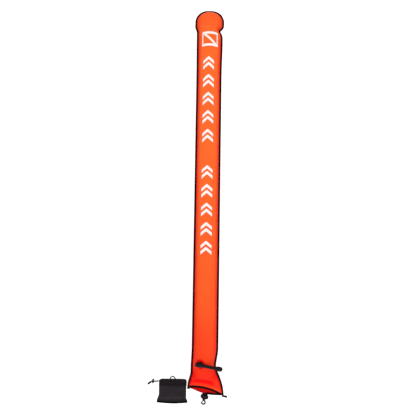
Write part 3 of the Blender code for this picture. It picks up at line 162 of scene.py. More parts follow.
GAP = 0.0003
CORD_RADIUS = 0.0011
TAIL_RADIUS = 0.00135
BRAID_PITCH = 0.0023
CORD_SPACING = 0.0028
CORD_HEIGHT = 0.0052
CORD_EXIT_ANGLE = math.radians(24)
CORD_EXIT_BEND = 0.0016
MOUTH_Y = -0.9
POUCH_X = -0.1460
POUCH_TOP_Y = -0.8535
POUCH_LENGTH = 0.1045
POUCH_HALF_WIDTH = 0.0625
POUCH_THICKNESS = 0.0280
POUCH_CROWN = 0.0020
POUCH_WALL = 0.0008
POUCH_SEAM_LEFT = 0.0733
POUCH_SEAM_RIGHT = 0.0689
POUCH_SEAM_BOW = 0.0045
POUCH_SEAM = 0.0075
POUCH_FLARE_START = 0.004
POUCH_FLARE_LEFT = 0.045
POUCH_FLARE_RIGHT = 0.024
POUCH_SWELL = 0.046
POUCH_TOP_THICKNESS = 0.0150
POUCH_TOP_TAPER = 0.036
POUCH_CORNER_DIP = 0.0050
POUCH_DIP_SPAN = 0.016
POUCH_SIDE_SHARE = 0.3
HEM = 0.0007
HEM_WIDTH = 0.0225
HEM_TURN_IN = 0.0060
TAPE = 0.0006
LOCK_PLACE = Vector((-0.2376, -0.864, CORD_HEIGHT))
LOCK_RADIUS = 0.0046
CORD_TWIST_X = -0.2230
CORD_END_PLACE = Vector((-0.2455, -0.8655, CORD_HEIGHT))
CORD_END_ANGLE = math.radians(35)
CARRY_LOOP_RADIUS = 0.0019
CARRY_CORD_RADIUS = 0.0022
CARRY_LOOP_HALF_WIDTH = 0.0140
CARRY_LOOP_HEIGHT = 0.0135
CARRY_LOOP_SEWN = 0.0120


def mix(start, end, share):
    """A share of the way from start to end."""
    return start + (end - start) * share


def smooth(value, start, end):
    """0 before start, 1 after end and a soft step between them."""
    share = min(1.0, max(0.0, (value - start) / (end - start)))
    return share * share * (3.0 - 2.0 * share)


def spaced(start, end, count):
    """Even places from start to end, with both ends and count steps between them."""
    return [mix(start, end, i / count) for i in range(count + 1)]


def colour(code):
    """The shader's colour for a colour written as six hexadecimal digits."""
    parts = [int(code[i : i + 2], 16) / 255 for i in (0, 2, 4)]
    return (*(((p + 0.055) / 1.055) ** 2.4 if p > 0.04045 else p / 12.92 for p in parts), 1)


def start_material(name, roughness, gloss=0.5, metallic=0.0):
    """A material, its node tree and its shader, with the shader's plain values set."""
    material = bpy.data.materials.new(name)
    material.use_nodes = True
    shader = feed(material.node_tree, material.node_tree.nodes["Principled BSDF"], {
        "Roughness": roughness, "Specular IOR Level": gloss, "Metallic": metallic,
    })
    return material, material.node_tree, shader


def start_group(name, inputs, outputs):
    """An empty node group with named sockets, and its input and output nodes."""
    group = bpy.data.node_groups.new(name, "ShaderNodeTree")
    for socket, kind in inputs:
        group.interface.new_socket(socket, in_out="INPUT", socket_type="NodeSocket" + kind)
    for socket, kind in outputs:
        group.interface.new_socket(socket, in_out="OUTPUT", socket_type="NodeSocket" + kind)
    return group, group.nodes.new("NodeGroupInput"), group.nodes.new("NodeGroupOutput")


def use_group(tree, group, feeds):
    """The outputs of a node group that gets these feeds."""
    made = node(tree, "Group", node_tree=group)
    return feed(tree, made, feeds).outputs


def blend_of(tree, share, one, other):
    """A colour between two, each a socket or six hexadecimal digits."""
    one, other = (colour(c) if isinstance(c, str) else c for c in (one, other))
    return node(tree, "MixRGB", {0: share, 1: one, 2: other}).outputs[0]


def cloth_places(tree):
    """The place on the uncut cloth, and how far across and along it is, in metres."""
    cloth = node(tree, "UVMap").outputs[0]
    return cloth, *node(tree, "SeparateXYZ", {0: cloth}).outputs[:2]


def bump(tree, shader, height, distance, strength, normal=None):
    """Feeds a height to the shader's normal, over another bump if one is given."""
    feeds = {"Height": height, "Distance": distance, "Strength": strength}
    if normal is not None:
        feeds["Normal"] = normal
    made = node(tree, "Bump", feeds).outputs[0]
    feed(tree, shader, {"Normal": made})
    return made


def crossed_threads():
    """A weave or braid: threads that pass over and under each other. Across and Along
    are in metres, Pitch is the width of a pair of threads."""
    group, entry, leave = start_group(
        "crossed_threads",
        [("Across", "Float"), ("Along", "Float"), ("Pitch", "Float")],
        [("Height", "Float"), ("Shade", "Float")],
    )
    waves = []
    for socket in ("Across", "Along"):
        turns = sum_of(group, "DIVIDE", entry.outputs[socket], entry.outputs["Pitch"])
        angle = sum_of(group, "MULTIPLY", turns, math.tau)
        waves.append(sum_of(group, "SINE", angle))
    over = sum_of(group, "MULTIPLY", *waves)
    height = sum_of(group, "MULTIPLY_ADD", over, 0.5, 0.5)
    shade = sum_of(group, "MULTIPLY_ADD", height, 0.3, 0.7)
    feed(group, leave, {"Height": height, "Shade": shade})
    return group


def handled_surface():
    """Slow unevenness of a used surface: blotches of shade and gloss, and fine grain."""
    group, entry, leave = start_group(
        "handled_surface",
        [("Vector", "Vector"), ("Blotch Scale", "Float"), ("Grain Scale", "Float")],
        [("Shade", "Float"), ("Roughness Shift", "Float"), ("Grain", "Float")],
    )
    blotch, grain = (
        node(group, "TexNoise", {
            "Vector": entry.outputs["Vector"], "Scale": entry.outputs[scale], "Detail": detail,
        }).outputs[0]
        for scale, detail in (("Blotch Scale", 3.0), ("Grain Scale", 5.0))
    )
    shade = node(group, "MapRange", {"Value": blotch, "From Min": 0.3, "From Max": 0.7})
    shift = node(group, "MapRange", {"Value": blotch, "To Min": -0.1, "To Max": 0.1})
    feed(group, leave, {
        "Shade": shade.outputs[0], "Roughness Shift": shift.outputs[0], "Grain": grain,
    })
    return group


THREADS = crossed_threads()
HANDLED = handled_surface()


def woven(tree, across, along, pitch):
    """The height and shade of threads that cross."""
    return use_group(tree, THREADS, {"Across": across, "Along": along, "Pitch": pitch})


def handled(tree, place, blotches, grain):
    """The shade, roughness shift and grain of a used surface."""
    return use_group(tree, HANDLED, {
        "Vector": place, "Blotch Scale": blotches, "Grain Scale": grain,
    })


def grid_faces(rows, columns, closed=False):
    """Faces between neighbouring rows of points; closed joins the ends of each row."""
    faces = []
    for j in range(rows - 1):
        for k in range(columns if closed else columns - 1):
            a, b = j * columns + k, j * columns + (k + 1) % columns
            faces.append((a, b, b + columns, a + columns))
    return faces


def add_mesh(name, points, faces, materials, flat=None, values=None):
    """Links a mesh as one named piece. Flat gives each point a place on the uncut cloth
    in metres, and values gives each point its share of a named quality."""
    mesh = bpy.data.meshes.new(name)
    mesh.from_pydata([tuple(p) for p in points], [], faces)
    if flat:
        layer = mesh.uv_layers.new(name="cloth")
        for loop in mesh.loops:
            layer.data[loop.index].uv = flat[loop.vertex_index]
    for quality, shares in (values or {}).items():
        attribute = mesh.attributes.new(quality, "FLOAT", "POINT")
        attribute.data.foreach_set("value", shares)
    for material in materials:
        mesh.materials.append(material)
    mesh.shade_smooth()
    piece = bpy.data.objects.new(name, mesh)
    bpy.context.scene.collection.objects.link(piece)
    return piece


def face_up(piece, side=1):
    """Turns a sheet's faces up, or down for side -1."""
    if sum(polygon.normal.z for polygon in piece.data.polygons) * side < 0:
        piece.data.flip_normals()


def dress(piece, body, node_name):
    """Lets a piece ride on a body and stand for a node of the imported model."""
    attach(piece, body)
    if node_name:
        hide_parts(node_name)


def close_up(piece, sharp=40):
    """Turns a closed piece's faces outwards and keeps its hard edges hard."""
    bm = bmesh.new()
    bm.from_mesh(piece.data)
    bmesh.ops.recalc_face_normals(bm, faces=bm.faces)
    bm.to_mesh(piece.data)
    bm.free()
    piece.data.shade_smooth()
    piece.data.set_sharp_from_angle(angle=math.radians(sharp))
    return piece


def tube(name, line, radius, material, sides):
    """A round cord on a line, with closed flat ends and its length along its cloth
    coordinates."""
    points, flat = [], []
    length = 0.0
    side = None
    for i, point in enumerate(line):
        ahead = (line[min(i + 1, len(line) - 1)] - line[max(i - 1, 0)]).normalized()
        side = ahead.orthogonal() if side is None else side
        side = (side - side.dot(ahead) * ahead).normalized()
        up = ahead.cross(side)
        length += (point - line[max(i - 1, 0)]).length
        for k in range(sides):
            angle = math.tau * k / sides
            points.append(point + radius * (math.cos(angle) * side + math.sin(angle) * up))
            flat.append((radius * angle, length))
    faces = grid_faces(len(line), sides, closed=True)
    faces += [tuple(range(sides))[::-1], tuple(range(len(points) - sides, len(points)))]
    return close_up(add_mesh(name, points, faces, [material], flat))


def curve_through(points, parts):
    """A smooth line through the points, cut into parts between neighbours."""
    points = [Vector(p) for p in points]
    padded = [2 * points[0] - points[1], *points, 2 * points[-1] - points[-2]]
    line = []
    for a, b, c, d in zip(padded, padded[1:], padded[2:], padded[3:]):
        for t in spaced(0, 1, parts)[:-1]:
            line.append(
                0.5 * (2 * b + (c - a) * t + (2 * a - 5 * b + 4 * c - d) * t**2
                       + (3 * b - a - 3 * c + d) * t**3)
            )
    return line + [points[-1]]


def pouch_row(from_bottom):
    """The pouch's cross-section at a distance from its bottom edge."""
    flare_left = 1.0 - smooth(from_bottom, POUCH_FLARE_START, POUCH_FLARE_LEFT)
    flare_right = 1.0 - smooth(from_bottom, POUCH_FLARE_START, POUCH_FLARE_RIGHT)
    share = min(1.0, max(0.0, (from_bottom - POUCH_SEAM) / POUCH_SWELL))
    swell = math.sin(math.pi / 2 * share)
    closing = 1.0 - smooth(POUCH_LENGTH - from_bottom, 0.0, POUCH_TOP_TAPER)
    hemmed = 1.0 - smooth(POUCH_LENGTH - from_bottom, HEM_WIDTH, HEM_WIDTH + 0.010)
    flat = GAP / 2 + POUCH_WALL
    thick = mix(flat, mix(POUCH_THICKNESS, POUCH_TOP_THICKNESS, closing) / 2, swell)
    under_seam = TAPE + 2 * GAP
    bottom = mix(under_seam, (HEM + 2 * GAP) * hemmed, smooth(share, 0.0, 0.3))
    return SimpleNamespace(
        share=from_bottom / POUCH_LENGTH,
        left=mix(POUCH_HALF_WIDTH, POUCH_SEAM_LEFT, flare_left),
        right=mix(POUCH_HALF_WIDTH, POUCH_SEAM_RIGHT, flare_right),
        thick=thick,
        middle=bottom + thick,
        crown=POUCH_CROWN * swell * (1.0 - 0.6 * closing),
    )


def pouch_point(row, u, side, inset=0.0):
    """A point of the pouch's front (side 1) or back (side -1), or inset below it; u is
    -1 at the left side fold and 1 at the right one."""
    reach = 1.0 - abs(u)
    turn = math.pi / 2 * min(1.0, reach / POUCH_SIDE_SHARE)
    face = max(0.0, (reach - POUCH_SIDE_SHARE) / (1.0 - POUCH_SIDE_SHARE))
    half = row.left if u < 0.0 else row.right
    straight = half - row.thick
    radius = row.thick - inset
    across = straight * (1.0 - face) + radius * math.cos(turn)
    up = radius * math.sin(turn)
    if side > 0:
        up += row.crown * (1.0 - (1.0 - face) ** 2)
    along_rim = row.thick * turn + straight * face
    top = -POUCH_CORNER_DIP * (1.0 - smooth(along_rim, 0.0, POUCH_DIP_SPAN))
    width = straight * (1.0 - face) + row.thick * math.cos(turn)
    bottom = -POUCH_SEAM_BOW * (1.0 - (width / half) ** 2)
    y = POUCH_TOP_Y - POUCH_LENGTH * (1.0 - row.share) + mix(bottom, top, row.share)
    return Vector((POUCH_X + math.copysign(across, u), y, row.middle + side * up))


braid, tree, shader = start_material("braided_cord", 0.82, 0.05)
cloth, across, along = cloth_places(tree)
left_turning, right_turning = (sum_of(tree, way, across, along) for way in ("ADD", "SUBTRACT"))
threads = woven(tree, left_turning, right_turning, BRAID_PITCH)
feed(tree, shader, {"Base Color": blend_of(tree, threads["Shade"], "070506", "1c181a")})
bump(tree, shader, threads["Height"], 0.0003, 0.8)

cord_row = pouch_row(POUCH_LENGTH - HEM - 3 * GAP - CORD_RADIUS)
first_u = -1.0 + POUCH_SIDE_SHARE * (
    CORD_EXIT_ANGLE + 2 * GAP / (cord_row.thick - CORD_RADIUS)
) / (math.pi / 2)
round_places = [u for u in spaced(-1.0, 1.0, 48) if u > first_u + 0.02]
held_places = [(first_u, 1)] + [(u, 1) for u in round_places]
held_places += [(u, -1) for u in reversed(round_places[:-1])] + [(first_u, -1)]
held = [pouch_point(cord_row, u, side, CORD_RADIUS) for u, side in held_places]
drawcord = tube("drawcord", held, CORD_RADIUS, braid, 10)
dress(drawcord, "pouch", "drawcord_hem")

end_heading = Vector((-math.cos(CORD_END_ANGLE), -math.sin(CORD_END_ANGLE), 0))
exit_u = -1.0 + POUCH_SIDE_SHARE * CORD_EXIT_ANGLE / (math.pi / 2)
for tail_name, side in (("upper", 1), ("lower", -1)):
    start = pouch_point(cord_row, exit_u, side, CORD_RADIUS)
    line = []
    full = math.pi / 2 - CORD_EXIT_ANGLE
    for angle in spaced(full, 0.0, 5):
        along = CORD_EXIT_BEND * (math.sin(full) - math.sin(angle))
        down = CORD_EXIT_BEND * (math.cos(angle) - math.cos(full))
        line.append(start + Vector((-along, 0, -side * down)))
    leaving = line[-1]
    lifted = (leaving.z - cord_row.middle) * side
    for share in (0.12, 0.2, 0.28, 0.37, 0.46, 0.55, 0.64, 0.73, 0.82, 0.91, 1.0):
        twist = math.pi / 2 * (1.0 - smooth(share, 0.06, 0.55))
        apart = mix(lifted, CORD_SPACING / 2, smooth(share, 0.1, 0.6))
        x = mix(leaving.x, CORD_TWIST_X, share)
        y = mix(leaving.y, LOCK_PLACE.y, share) + side * apart * math.cos(twist)
        z = mix(cord_row.middle, CORD_HEIGHT, smooth(share, 0.0, 1.0))
        line.append(Vector((x, y, z + side * apart * math.sin(twist))))
    beside = Vector((-end_heading.y, end_heading.x, 0)) * -side * CORD_SPACING / 2
    y = LOCK_PLACE.y + side * CORD_SPACING / 2
    line += [Vector((LOCK_PLACE.x + k, y, CORD_HEIGHT)) for k in (0.009, 0.003, -0.002)]
    line.append(Vector((LOCK_PLACE.x - LOCK_RADIUS - 0.0014, y, CORD_HEIGHT)))
    line += [CORD_END_PLACE + beside + end_heading * k for k in (0.0002, 0.0042)]
    tail = tube("drawcord_tail_" + tail_name, line, TAIL_RADIUS, braid, 12)
    dress(tail, "pouch", "cord_tail_" + tail_name)

loop_height = pouch_point(pouch_row(POUCH_LENGTH), 0.0, -1, 2 * CORD_RADIUS + HEM + 2 * GAP).z
loop_height += CARRY_LOOP_RADIUS + 2 * GAP
loop_route = [
    (-0.86, -CARRY_LOOP_SEWN), (-0.90, -CARRY_LOOP_SEWN * 0.5), (-0.92, 0.0),
    (-0.72, CARRY_LOOP_HEIGHT * 0.62), (-0.16, CARRY_LOOP_HEIGHT),
    (0.46, CARRY_LOOP_HEIGHT * 0.66), (0.92, 0.0), (0.90, -CARRY_LOOP_SEWN * 0.5),
    (0.86, -CARRY_LOOP_SEWN),
]
loop_line = curve_through([
    (POUCH_X + CARRY_LOOP_HALF_WIDTH * x, POUCH_TOP_Y + y, loop_height) for x, y in loop_route
], 5)
carry_loop = tube("carry_cord", loop_line, CARRY_CORD_RADIUS, braid, 16)
dress(carry_loop, "pouch", "carry_loop")


# The bag: a front and a back panel of fluorescent coated nylon, welded flat to each
# other along both sides and round the head and blown up to a tube. The skirt below the
# waist stays open and lies half flat.

TUBE_RADIUS = 0.051
FLOOR_DENT = 0.0015
FABRIC = 0.0005
SEAM_WIDTH = 0.0071
SEAM_HALF = GAP / 2 + FABRIC
BINDING_EDGE = SEAM_WIDTH + GAP + TAPE
HEAD_HALF_WIDTH = 0.0608
HEAD_RISE = 0.043
HEAD_REACH = 0.054
HEAD_CORNER = 0.050
HEAD_TAPER = 0.060
HEAD_Y = 0.838
SHOULDER_Y = 0.822
SHOULDER_LENGTH = 0.034
NECK_Y = 0.797
NECK_LENGTH = 0.0165
NECK_PINCH = 0.0130
NECK_SWELL_RIGHT = 0.0035
NECK_SWELL_LEFT = 0.0012
NECK_SWELL_START = 0.560
NECK_SWELL_END = 0.750
WAIST_FROM_MOUTH = 0.118
WAIST_TAPER = 0.085
WAIST_HALF_WIDTH = 0.0475
WAIST_SWAY = -0.0065
SKIRT_FLAT = 0.040
LEFT_FLARE = 0.104
RIGHT_FLARE_POWER = 1.2
MOUTH_HALF_WIDTH = 0.074
MOUTH_RISE = 0.022
MOUTH_SEAM_HEIGHT = 0.012
MOUTH_SWAY = 0.005
MOUTH_SKEW = math.radians(12.4)
MOUTH_HANG = 0.0032
FRONT_LIP_BOW = 0.017
BACK_LIP_BOW = 0.0165
LIP_TAPE_WIDTH = 0.008
TUBE_SEAM_HEIGHT = TUBE_RADIUS + SEAM_HALF - FLOOR_DENT
WEBBING = 0.0010
LIP_LIFT = 2 * WEBBING + TAPE + 4 * GAP
TAB_SEWN = 0.0280
LIP_SETTLING = 0.040
INFLATOR_PLACE = Vector((-0.01825, -0.753))
PATCH_RADIUS = 0.0205
PANEL_STRIPS = 52
HEAD_RAYS = 44
CLOTH_PITCH = 0.0009
NECK_FOLDS = ((0.783, 0.016, 0.0018), (0.799, -0.012, 0.0024))
NECK_FOLD_WIDTH = 0.0045
SKIRT_FOLDS = ((-0.823, 0.03, 0.0012), (-0.800, -0.02, 0.0009))
SKIRT_FOLD_WIDTH = 0.006
CREASE_Y = -0.853
CREASE_BOW = 0.020
CREASE_WIDTH = 0.011
CREASE_DEPTH = 0.0042
PUCKER_DEPTH = 0.0011
UNEVEN_DEPTH = 0.0007
SKIRT_DENT_DEPTH = 0.0010
HEAD_PUCKER_DEPTH = 0.0013
REDDENING = ((0.16, -0.3, 0.5), (0.26, 0.40, 0.72), (0.36, 0.72, 0.82), (-0.30, 0.868, 0.890))
CREASE_SHADE_Y = -0.852
SHADE_WIDTH = 0.010


def bag_row(y):
    """The bag's cross-section at y: widths, centre, seam height, rise and drop."""
    from_mouth = y - MOUTH_Y
    flare = 1.0 - smooth(from_mouth, 0.0, WAIST_FROM_MOUTH)
    slope = 1.0 - smooth(from_mouth, SKIRT_FLAT, WAIST_FROM_MOUTH)
    taper = 1.0 - smooth(from_mouth, WAIST_FROM_MOUTH, WAIST_FROM_MOUTH + WAIST_TAPER)
    head = smooth(y, HEAD_Y - HEAD_TAPER, HEAD_Y)
    body = mix(TUBE_RADIUS, WAIST_HALF_WIDTH, taper)
    sway = WAIST_SWAY * taper
    opening = max(0.0, 1.0 - from_mouth / WAIST_FROM_MOUTH)
    flare_left = 1.0 - smooth(from_mouth, 0.0, LEFT_FLARE)
    flare_right = math.sin(math.pi / 2 * min(1.0, opening)) ** RIGHT_FLARE_POWER
    swell = smooth(y, NECK_SWELL_START, NECK_SWELL_END)
    left = mix(body - sway, MOUTH_HALF_WIDTH - MOUTH_SWAY, flare_left)
    right = mix(body + sway, MOUTH_HALF_WIDTH + MOUTH_SWAY, flare_right)
    left += NECK_SWELL_LEFT * swell
    right += NECK_SWELL_RIGHT * swell
    shoulder = smooth(y, SHOULDER_Y - SHOULDER_LENGTH, SHOULDER_Y)
    pinch = math.exp(-(((y - NECK_Y) / NECK_LENGTH) ** 2)) * (1.0 - head**4)
    left = mix(left, HEAD_HALF_WIDTH, shoulder)
    right = mix(right, HEAD_HALF_WIDTH, shoulder) - NECK_PINCH * pinch
    seam = mix(TUBE_SEAM_HEIGHT, MOUTH_SEAM_HEIGHT, flare)
    lift = 1.0 - smooth(from_mouth, TAB_SEWN, TAB_SEWN + LIP_SETTLING)
    return SimpleNamespace(
        y=y,
        half=(left + right) / 2,
        centre=(right - left) / 2,
        seam=seam,
        rise=mix(mix(TUBE_RADIUS, MOUTH_RISE, slope), HEAD_RISE, head),
        drop=mix(seam - SEAM_HALF + FLOOR_DENT, HEAD_RISE, head),
        floor=LIP_LIFT * lift,
        flare=flare,
    )


def arc_point(half, height, u):
    """Where a circular arc over a chord is: how far across and how high; u is -1 to 1."""
    spread = 2.0 * math.atan2(height, half)
    across = half * math.sin(u * spread) / math.sin(spread)
    up = half * (math.cos(u * spread) - math.cos(spread)) / math.sin(spread)
    return across, up


def bag_point(row, u, side, inset=0.0):
    """A point of the front panel (side 1) or back panel (side -1), or inset below it."""
    height = (row.rise if side > 0 else row.drop) - inset
    across, up = arc_point(row.half - inset, height, u)
    z = row.seam + side * (SEAM_HALF + up)
    if side < 0:
        z = max(z, row.floor + inset)
    bow = FRONT_LIP_BOW if side > 0 else -BACK_LIP_BOW
    share = across / row.half
    shift = (bow * (1.0 - share**2) - MOUTH_HANG * share**2) * row.flare**2
    shift -= math.tan(MOUTH_SKEW) * across * row.flare
    return Vector((row.centre + across, row.y + shift, z))


def head_reach(angle):
    """How far the head's seam is from the head's pole, in a direction; 0 is to the right."""
    along = Vector((abs(math.cos(angle)), math.sin(angle)))
    corner = Vector((HEAD_HALF_WIDTH - HEAD_CORNER, HEAD_REACH - HEAD_CORNER))
    if along.y * HEAD_HALF_WIDTH <= along.x * corner.y:
        return HEAD_HALF_WIDTH / along.x
    if along.x * HEAD_REACH <= along.y * corner.x:
        return HEAD_REACH / along.y
    middle = along.dot(corner)
    return middle + math.sqrt(middle**2 - corner.length_squared + HEAD_CORNER**2)


def head_point(angle, u, side, inset=0.0):
    """A point of the head's dome, u from 1 at the seam to 0 at the pole."""
    row = bag_row(HEAD_Y)
    out, up = arc_point(head_reach(angle) - inset, HEAD_RISE - inset, u)
    z = row.seam + side * (SEAM_HALF + up)
    return Vector((row.centre + out * math.cos(angle), HEAD_Y + out * math.sin(angle), z))


def wave(*place):
    """Smooth noise from about -1 to 1 at a place, the same in each run."""
    return 2.0 * noise.noise(Vector(place))


def sag(y, u, side):
    """How far the cloth dips below its smooth shape: puckers that the weld draws along
    both sides, creases from the pinched neck, folds over the skirt and a slow
    unevenness. It fades out at the seams and under the inflator's patch."""
    near_seam = smooth(abs(u), 0.60, 0.93) * (1.0 - smooth(abs(u), 0.975, 1.0))
    hand = 1.0 if u > 0 else -1.0
    pucker = max(0.0, wave(y * 38.0, hand * 7.0, side * 3.0) + 0.35) * near_seam * PUCKER_DEPTH
    inner = 1.0 - smooth(abs(u), 0.8, 1.0)
    slow = (0.5 + 0.5 * wave(y * 9.0, u * 1.6, side * 5.0)) * UNEVEN_DEPTH * inner
    fold = 0.0
    if side > 0:
        for line, tilt, deep in NECK_FOLDS:
            off = (y - line - tilt * (1.0 - u)) / NECK_FOLD_WIDTH
            fold += deep * math.exp(-off * off) * smooth(u, 0.30, 0.85)
        off = (y - CREASE_Y + CREASE_BOW * u * u - 0.004 * u) / CREASE_WIDTH
        fold += CREASE_DEPTH * math.exp(-off * off) * (1.0 - smooth(abs(u), 0.55, 0.95))
        for line, tilt, deep in SKIRT_FOLDS:
            off = (y - line - tilt * u) / SKIRT_FOLD_WIDTH
            fold += deep * math.exp(-off * off) * (1.0 - smooth(abs(u), 0.7, 0.97))
        dent = max(0.0, wave(y * 30.0, u * 3.5, 9.0)) * smooth(-y, 0.790, 0.82)
        fold += SKIRT_DENT_DEPTH * dent * inner
    edge = 1.0 - smooth(abs(u), 0.96, 1.0)
    lip = smooth(y - MOUTH_Y, LIP_TAPE_WIDTH + 0.001, LIP_TAPE_WIDTH + 0.010)
    total = (pucker + slow + fold * edge) * lip
    if side > 0 and abs(y - INFLATOR_PLACE.y) < 0.05:
        row = bag_row(y)
        across = row.centre + arc_point(row.half, row.rise, u)[0]
        away = math.hypot(across - INFLATOR_PLACE.x, y - INFLATOR_PLACE.y)
        total *= smooth(away, PATCH_RADIUS + 0.002, PATCH_RADIUS + 0.014)
    if side < 0:
        total *= 0.5
    return total


def head_sag(angle, u):
    """Puckers that run from the head's curved weld towards its pole."""
    share = smooth(u, 0.35, 0.9) * (1.0 - smooth(u, 0.97, 1.0))
    ends = smooth(angle, 0.0, 0.35) * smooth(math.pi - angle, 0.0, 0.35)
    ripple = 0.5 + 0.5 * math.cos(angle * 34.0 + 2.0 * wave(angle * 2.0, 4.0, 0.0))
    return HEAD_PUCKER_DEPTH * ripple**2 * share * ends + sag(HEAD_Y, u, 1) * (1.0 - ends) * 0.5


def dye_and_painted_shade(y, u):
    """How far along the cloth's colour ramp a place is, from 0 at the orange crown near the
    head to 1 in the folded skirt: the cloth reddens towards the mouth, and painted shade
    reddens and darkens it towards both seams, more on the left, in the crease over the
    skirt and beside the neck. Above 1 it is painted shade in the dark valley beside a seam."""
    down = 0.04 + sum(gain * smooth(-y, start, end) for gain, start, end in REDDENING)
    down -= 0.22 * smooth(u, 0.25, 0.80) * smooth(-y, 0.82, 0.86)
    # Painted shade: the cloth reddens and darkens towards both seams, where the tube curves
    # away, and a little more on the left.
    sides = 0.50 * smooth(abs(u), 0.42, 0.80) + 0.08 * smooth(-u, 0.5, 0.9)
    sides *= 1.0 - 0.8 * smooth(-y, 0.80, 0.85) - 0.55 * smooth(y, 0.70, 0.79)
    # Painted shade in the crease over the skirt and beside the pinched neck.
    off = (y - CREASE_SHADE_Y + CREASE_BOW * u * u) / SHADE_WIDTH
    crease = 0.80 * math.exp(-off * off) * (1.0 - smooth(abs(u + 0.12), 0.22, 0.84))
    neck = 0.06 * math.exp(-(((y - NECK_Y) / SHADE_WIDTH) ** 2)) * smooth(u, 0.2, 0.8)
    top = 0.12 * smooth(y, 0.76, 0.84)
    # Painted shade in the valley beside each seam.
    valley = 0.25 * smooth(abs(u), 0.86, 0.98)
    return min(1.0, down + top + sides * (1.0 - down) + crease + neck) + valley


PANEL_ROWS = (
    spaced(MOUTH_Y, MOUTH_Y + WAIST_FROM_MOUTH + 0.02, 56)
    + spaced(MOUTH_Y + WAIST_FROM_MOUTH + 0.02, HEAD_Y - HEAD_TAPER, 180)[1:]
    + spaced(HEAD_Y - HEAD_TAPER, HEAD_Y, 24)[1:]
)
HEAD_ANGLES = [math.pi * (1 - k / HEAD_RAYS) for k in range(1, HEAD_RAYS)]


def floor_share(row):
    """Share of the back panel's arc on each side of its middle that lies on the floor."""
    spread = 2.0 * math.atan2(row.drop, row.half)
    reach = row.seam - SEAM_HALF - row.floor
    level = math.cos(spread) + reach * math.sin(spread) / row.half
    return max(0.12, math.acos(min(1.0, level)) / spread)


def panel_columns(row, side):
    """The places across a panel where it has points, from the left seam to the right."""
    if side > 0:
        return spaced(-1.0, 1.0, PANEL_STRIPS)
    edge = floor_share(row)
    left = spaced(-1.0, -edge, PANEL_STRIPS // 2 - 3) + spaced(-edge, 0.0, 3)[1:-1]
    return left + [0.0] + [-u for u in reversed(left)]


def seam_line(rows, angles):
    """The seam from the left mouth corner round the head to the right one, and which
    way is outward at each point."""
    line = [bag_point(bag_row(y), -1.0, 1) for y in rows]
    line += [head_point(angle, 1.0, 1) for angle in angles]
    line += [bag_point(bag_row(y), 1.0, 1) for y in reversed(rows)]
    line = [Vector((p.x, p.y, p.z - SEAM_HALF)) for p in line]
    outward = []
    for i in range(len(line)):
        step = line[min(i + 1, len(line) - 1)] - line[max(i - 1, 0)]
        outward.append(Vector((-step.y, step.x, 0)).normalized())
    return line, outward


SEAM_LINE, SEAM_OUTWARD = seam_line(PANEL_ROWS, HEAD_ANGLES)


def panel_mesh(name, side, materials):
    """One panel with its flat weld, as a sheet that follows the blown-up shape."""
    points, flat, red = [], [], []

    def keep(point, place, share):
        points.append(point)
        flat.append(place)
        red.append(share)
        return len(points) - 1

    def weld(index):
        edge = SEAM_LINE[index] + SEAM_OUTWARD[index] * SEAM_WIDTH
        return edge + Vector((0, 0, side * SEAM_HALF))

    lines = []
    last = len(SEAM_LINE) - 1
    for j, y in enumerate(PANEL_ROWS):
        row = bag_row(y)
        half_arc = row.half * 1.57
        line = [keep(weld(j), (-half_arc - SEAM_WIDTH, y), 0.5)]
        for u in panel_columns(row, side):
            point = bag_point(row, u, side, sag(y, u, side))
            line.append(keep(point, (half_arc * u, y), dye_and_painted_shade(y, u)))
        line.append(keep(weld(last - j), (half_arc + SEAM_WIDTH, y), 0.5))
        lines.append(line)
    middle = len(lines[-1]) // 2
    pole = lines[-1][middle]
    shares = [-u for u in panel_columns(bag_row(HEAD_Y), side)[: middle - 1]]
    rays = [lines[-1][:middle]]
    for k, angle in enumerate(HEAD_ANGLES):
        ray = [keep(weld(len(PANEL_ROWS) + k), (0.1 * math.cos(angle), HEAD_Y + 0.1), 0.5)]
        for u in shares:
            out = u * head_reach(angle) * 1.3
            place = (out * math.cos(angle), HEAD_Y + out * math.sin(angle))
            tint = mix(dye_and_painted_shade(HEAD_Y, u), dye_and_painted_shade(HEAD_Y, u * 0.8), math.sin(angle))
            ray.append(keep(head_point(angle, u, side, head_sag(angle, u)), place, tint))
        rays.append(ray)
    rays.append(lines[-1][:middle:-1])
    faces = []
    for grid in (lines, rays):
        for one, other in zip(grid, grid[1:]):
            for i in range(len(one) - 1):
                faces.append((one[i], one[i + 1], other[i + 1], other[i]))
    faces += [(one[-1], pole, other[-1]) for one, other in zip(rays, rays[1:])]
    piece = add_mesh(name, points, faces, materials, flat, {"dye_and_painted_shade": red})
    bm = bmesh.new()
    bm.from_mesh(piece.data)
    bmesh.ops.recalc_face_normals(bm, faces=bm.faces)
    if sum(face.normal.z for face in bm.faces) * side < 0:
        bmesh.ops.reverse_faces(bm, faces=bm.faces)
    bm.to_mesh(piece.data)
    bm.free()
    return piece


def line_with_wall(piece, wall, inner_material=0):
    """Gives a sheet its thickness, which goes inwards."""
    modifier = piece.modifiers.new("wall", "SOLIDIFY")
    modifier.thickness = wall
    modifier.offset = -1.0
    modifier.material_offset = inner_material


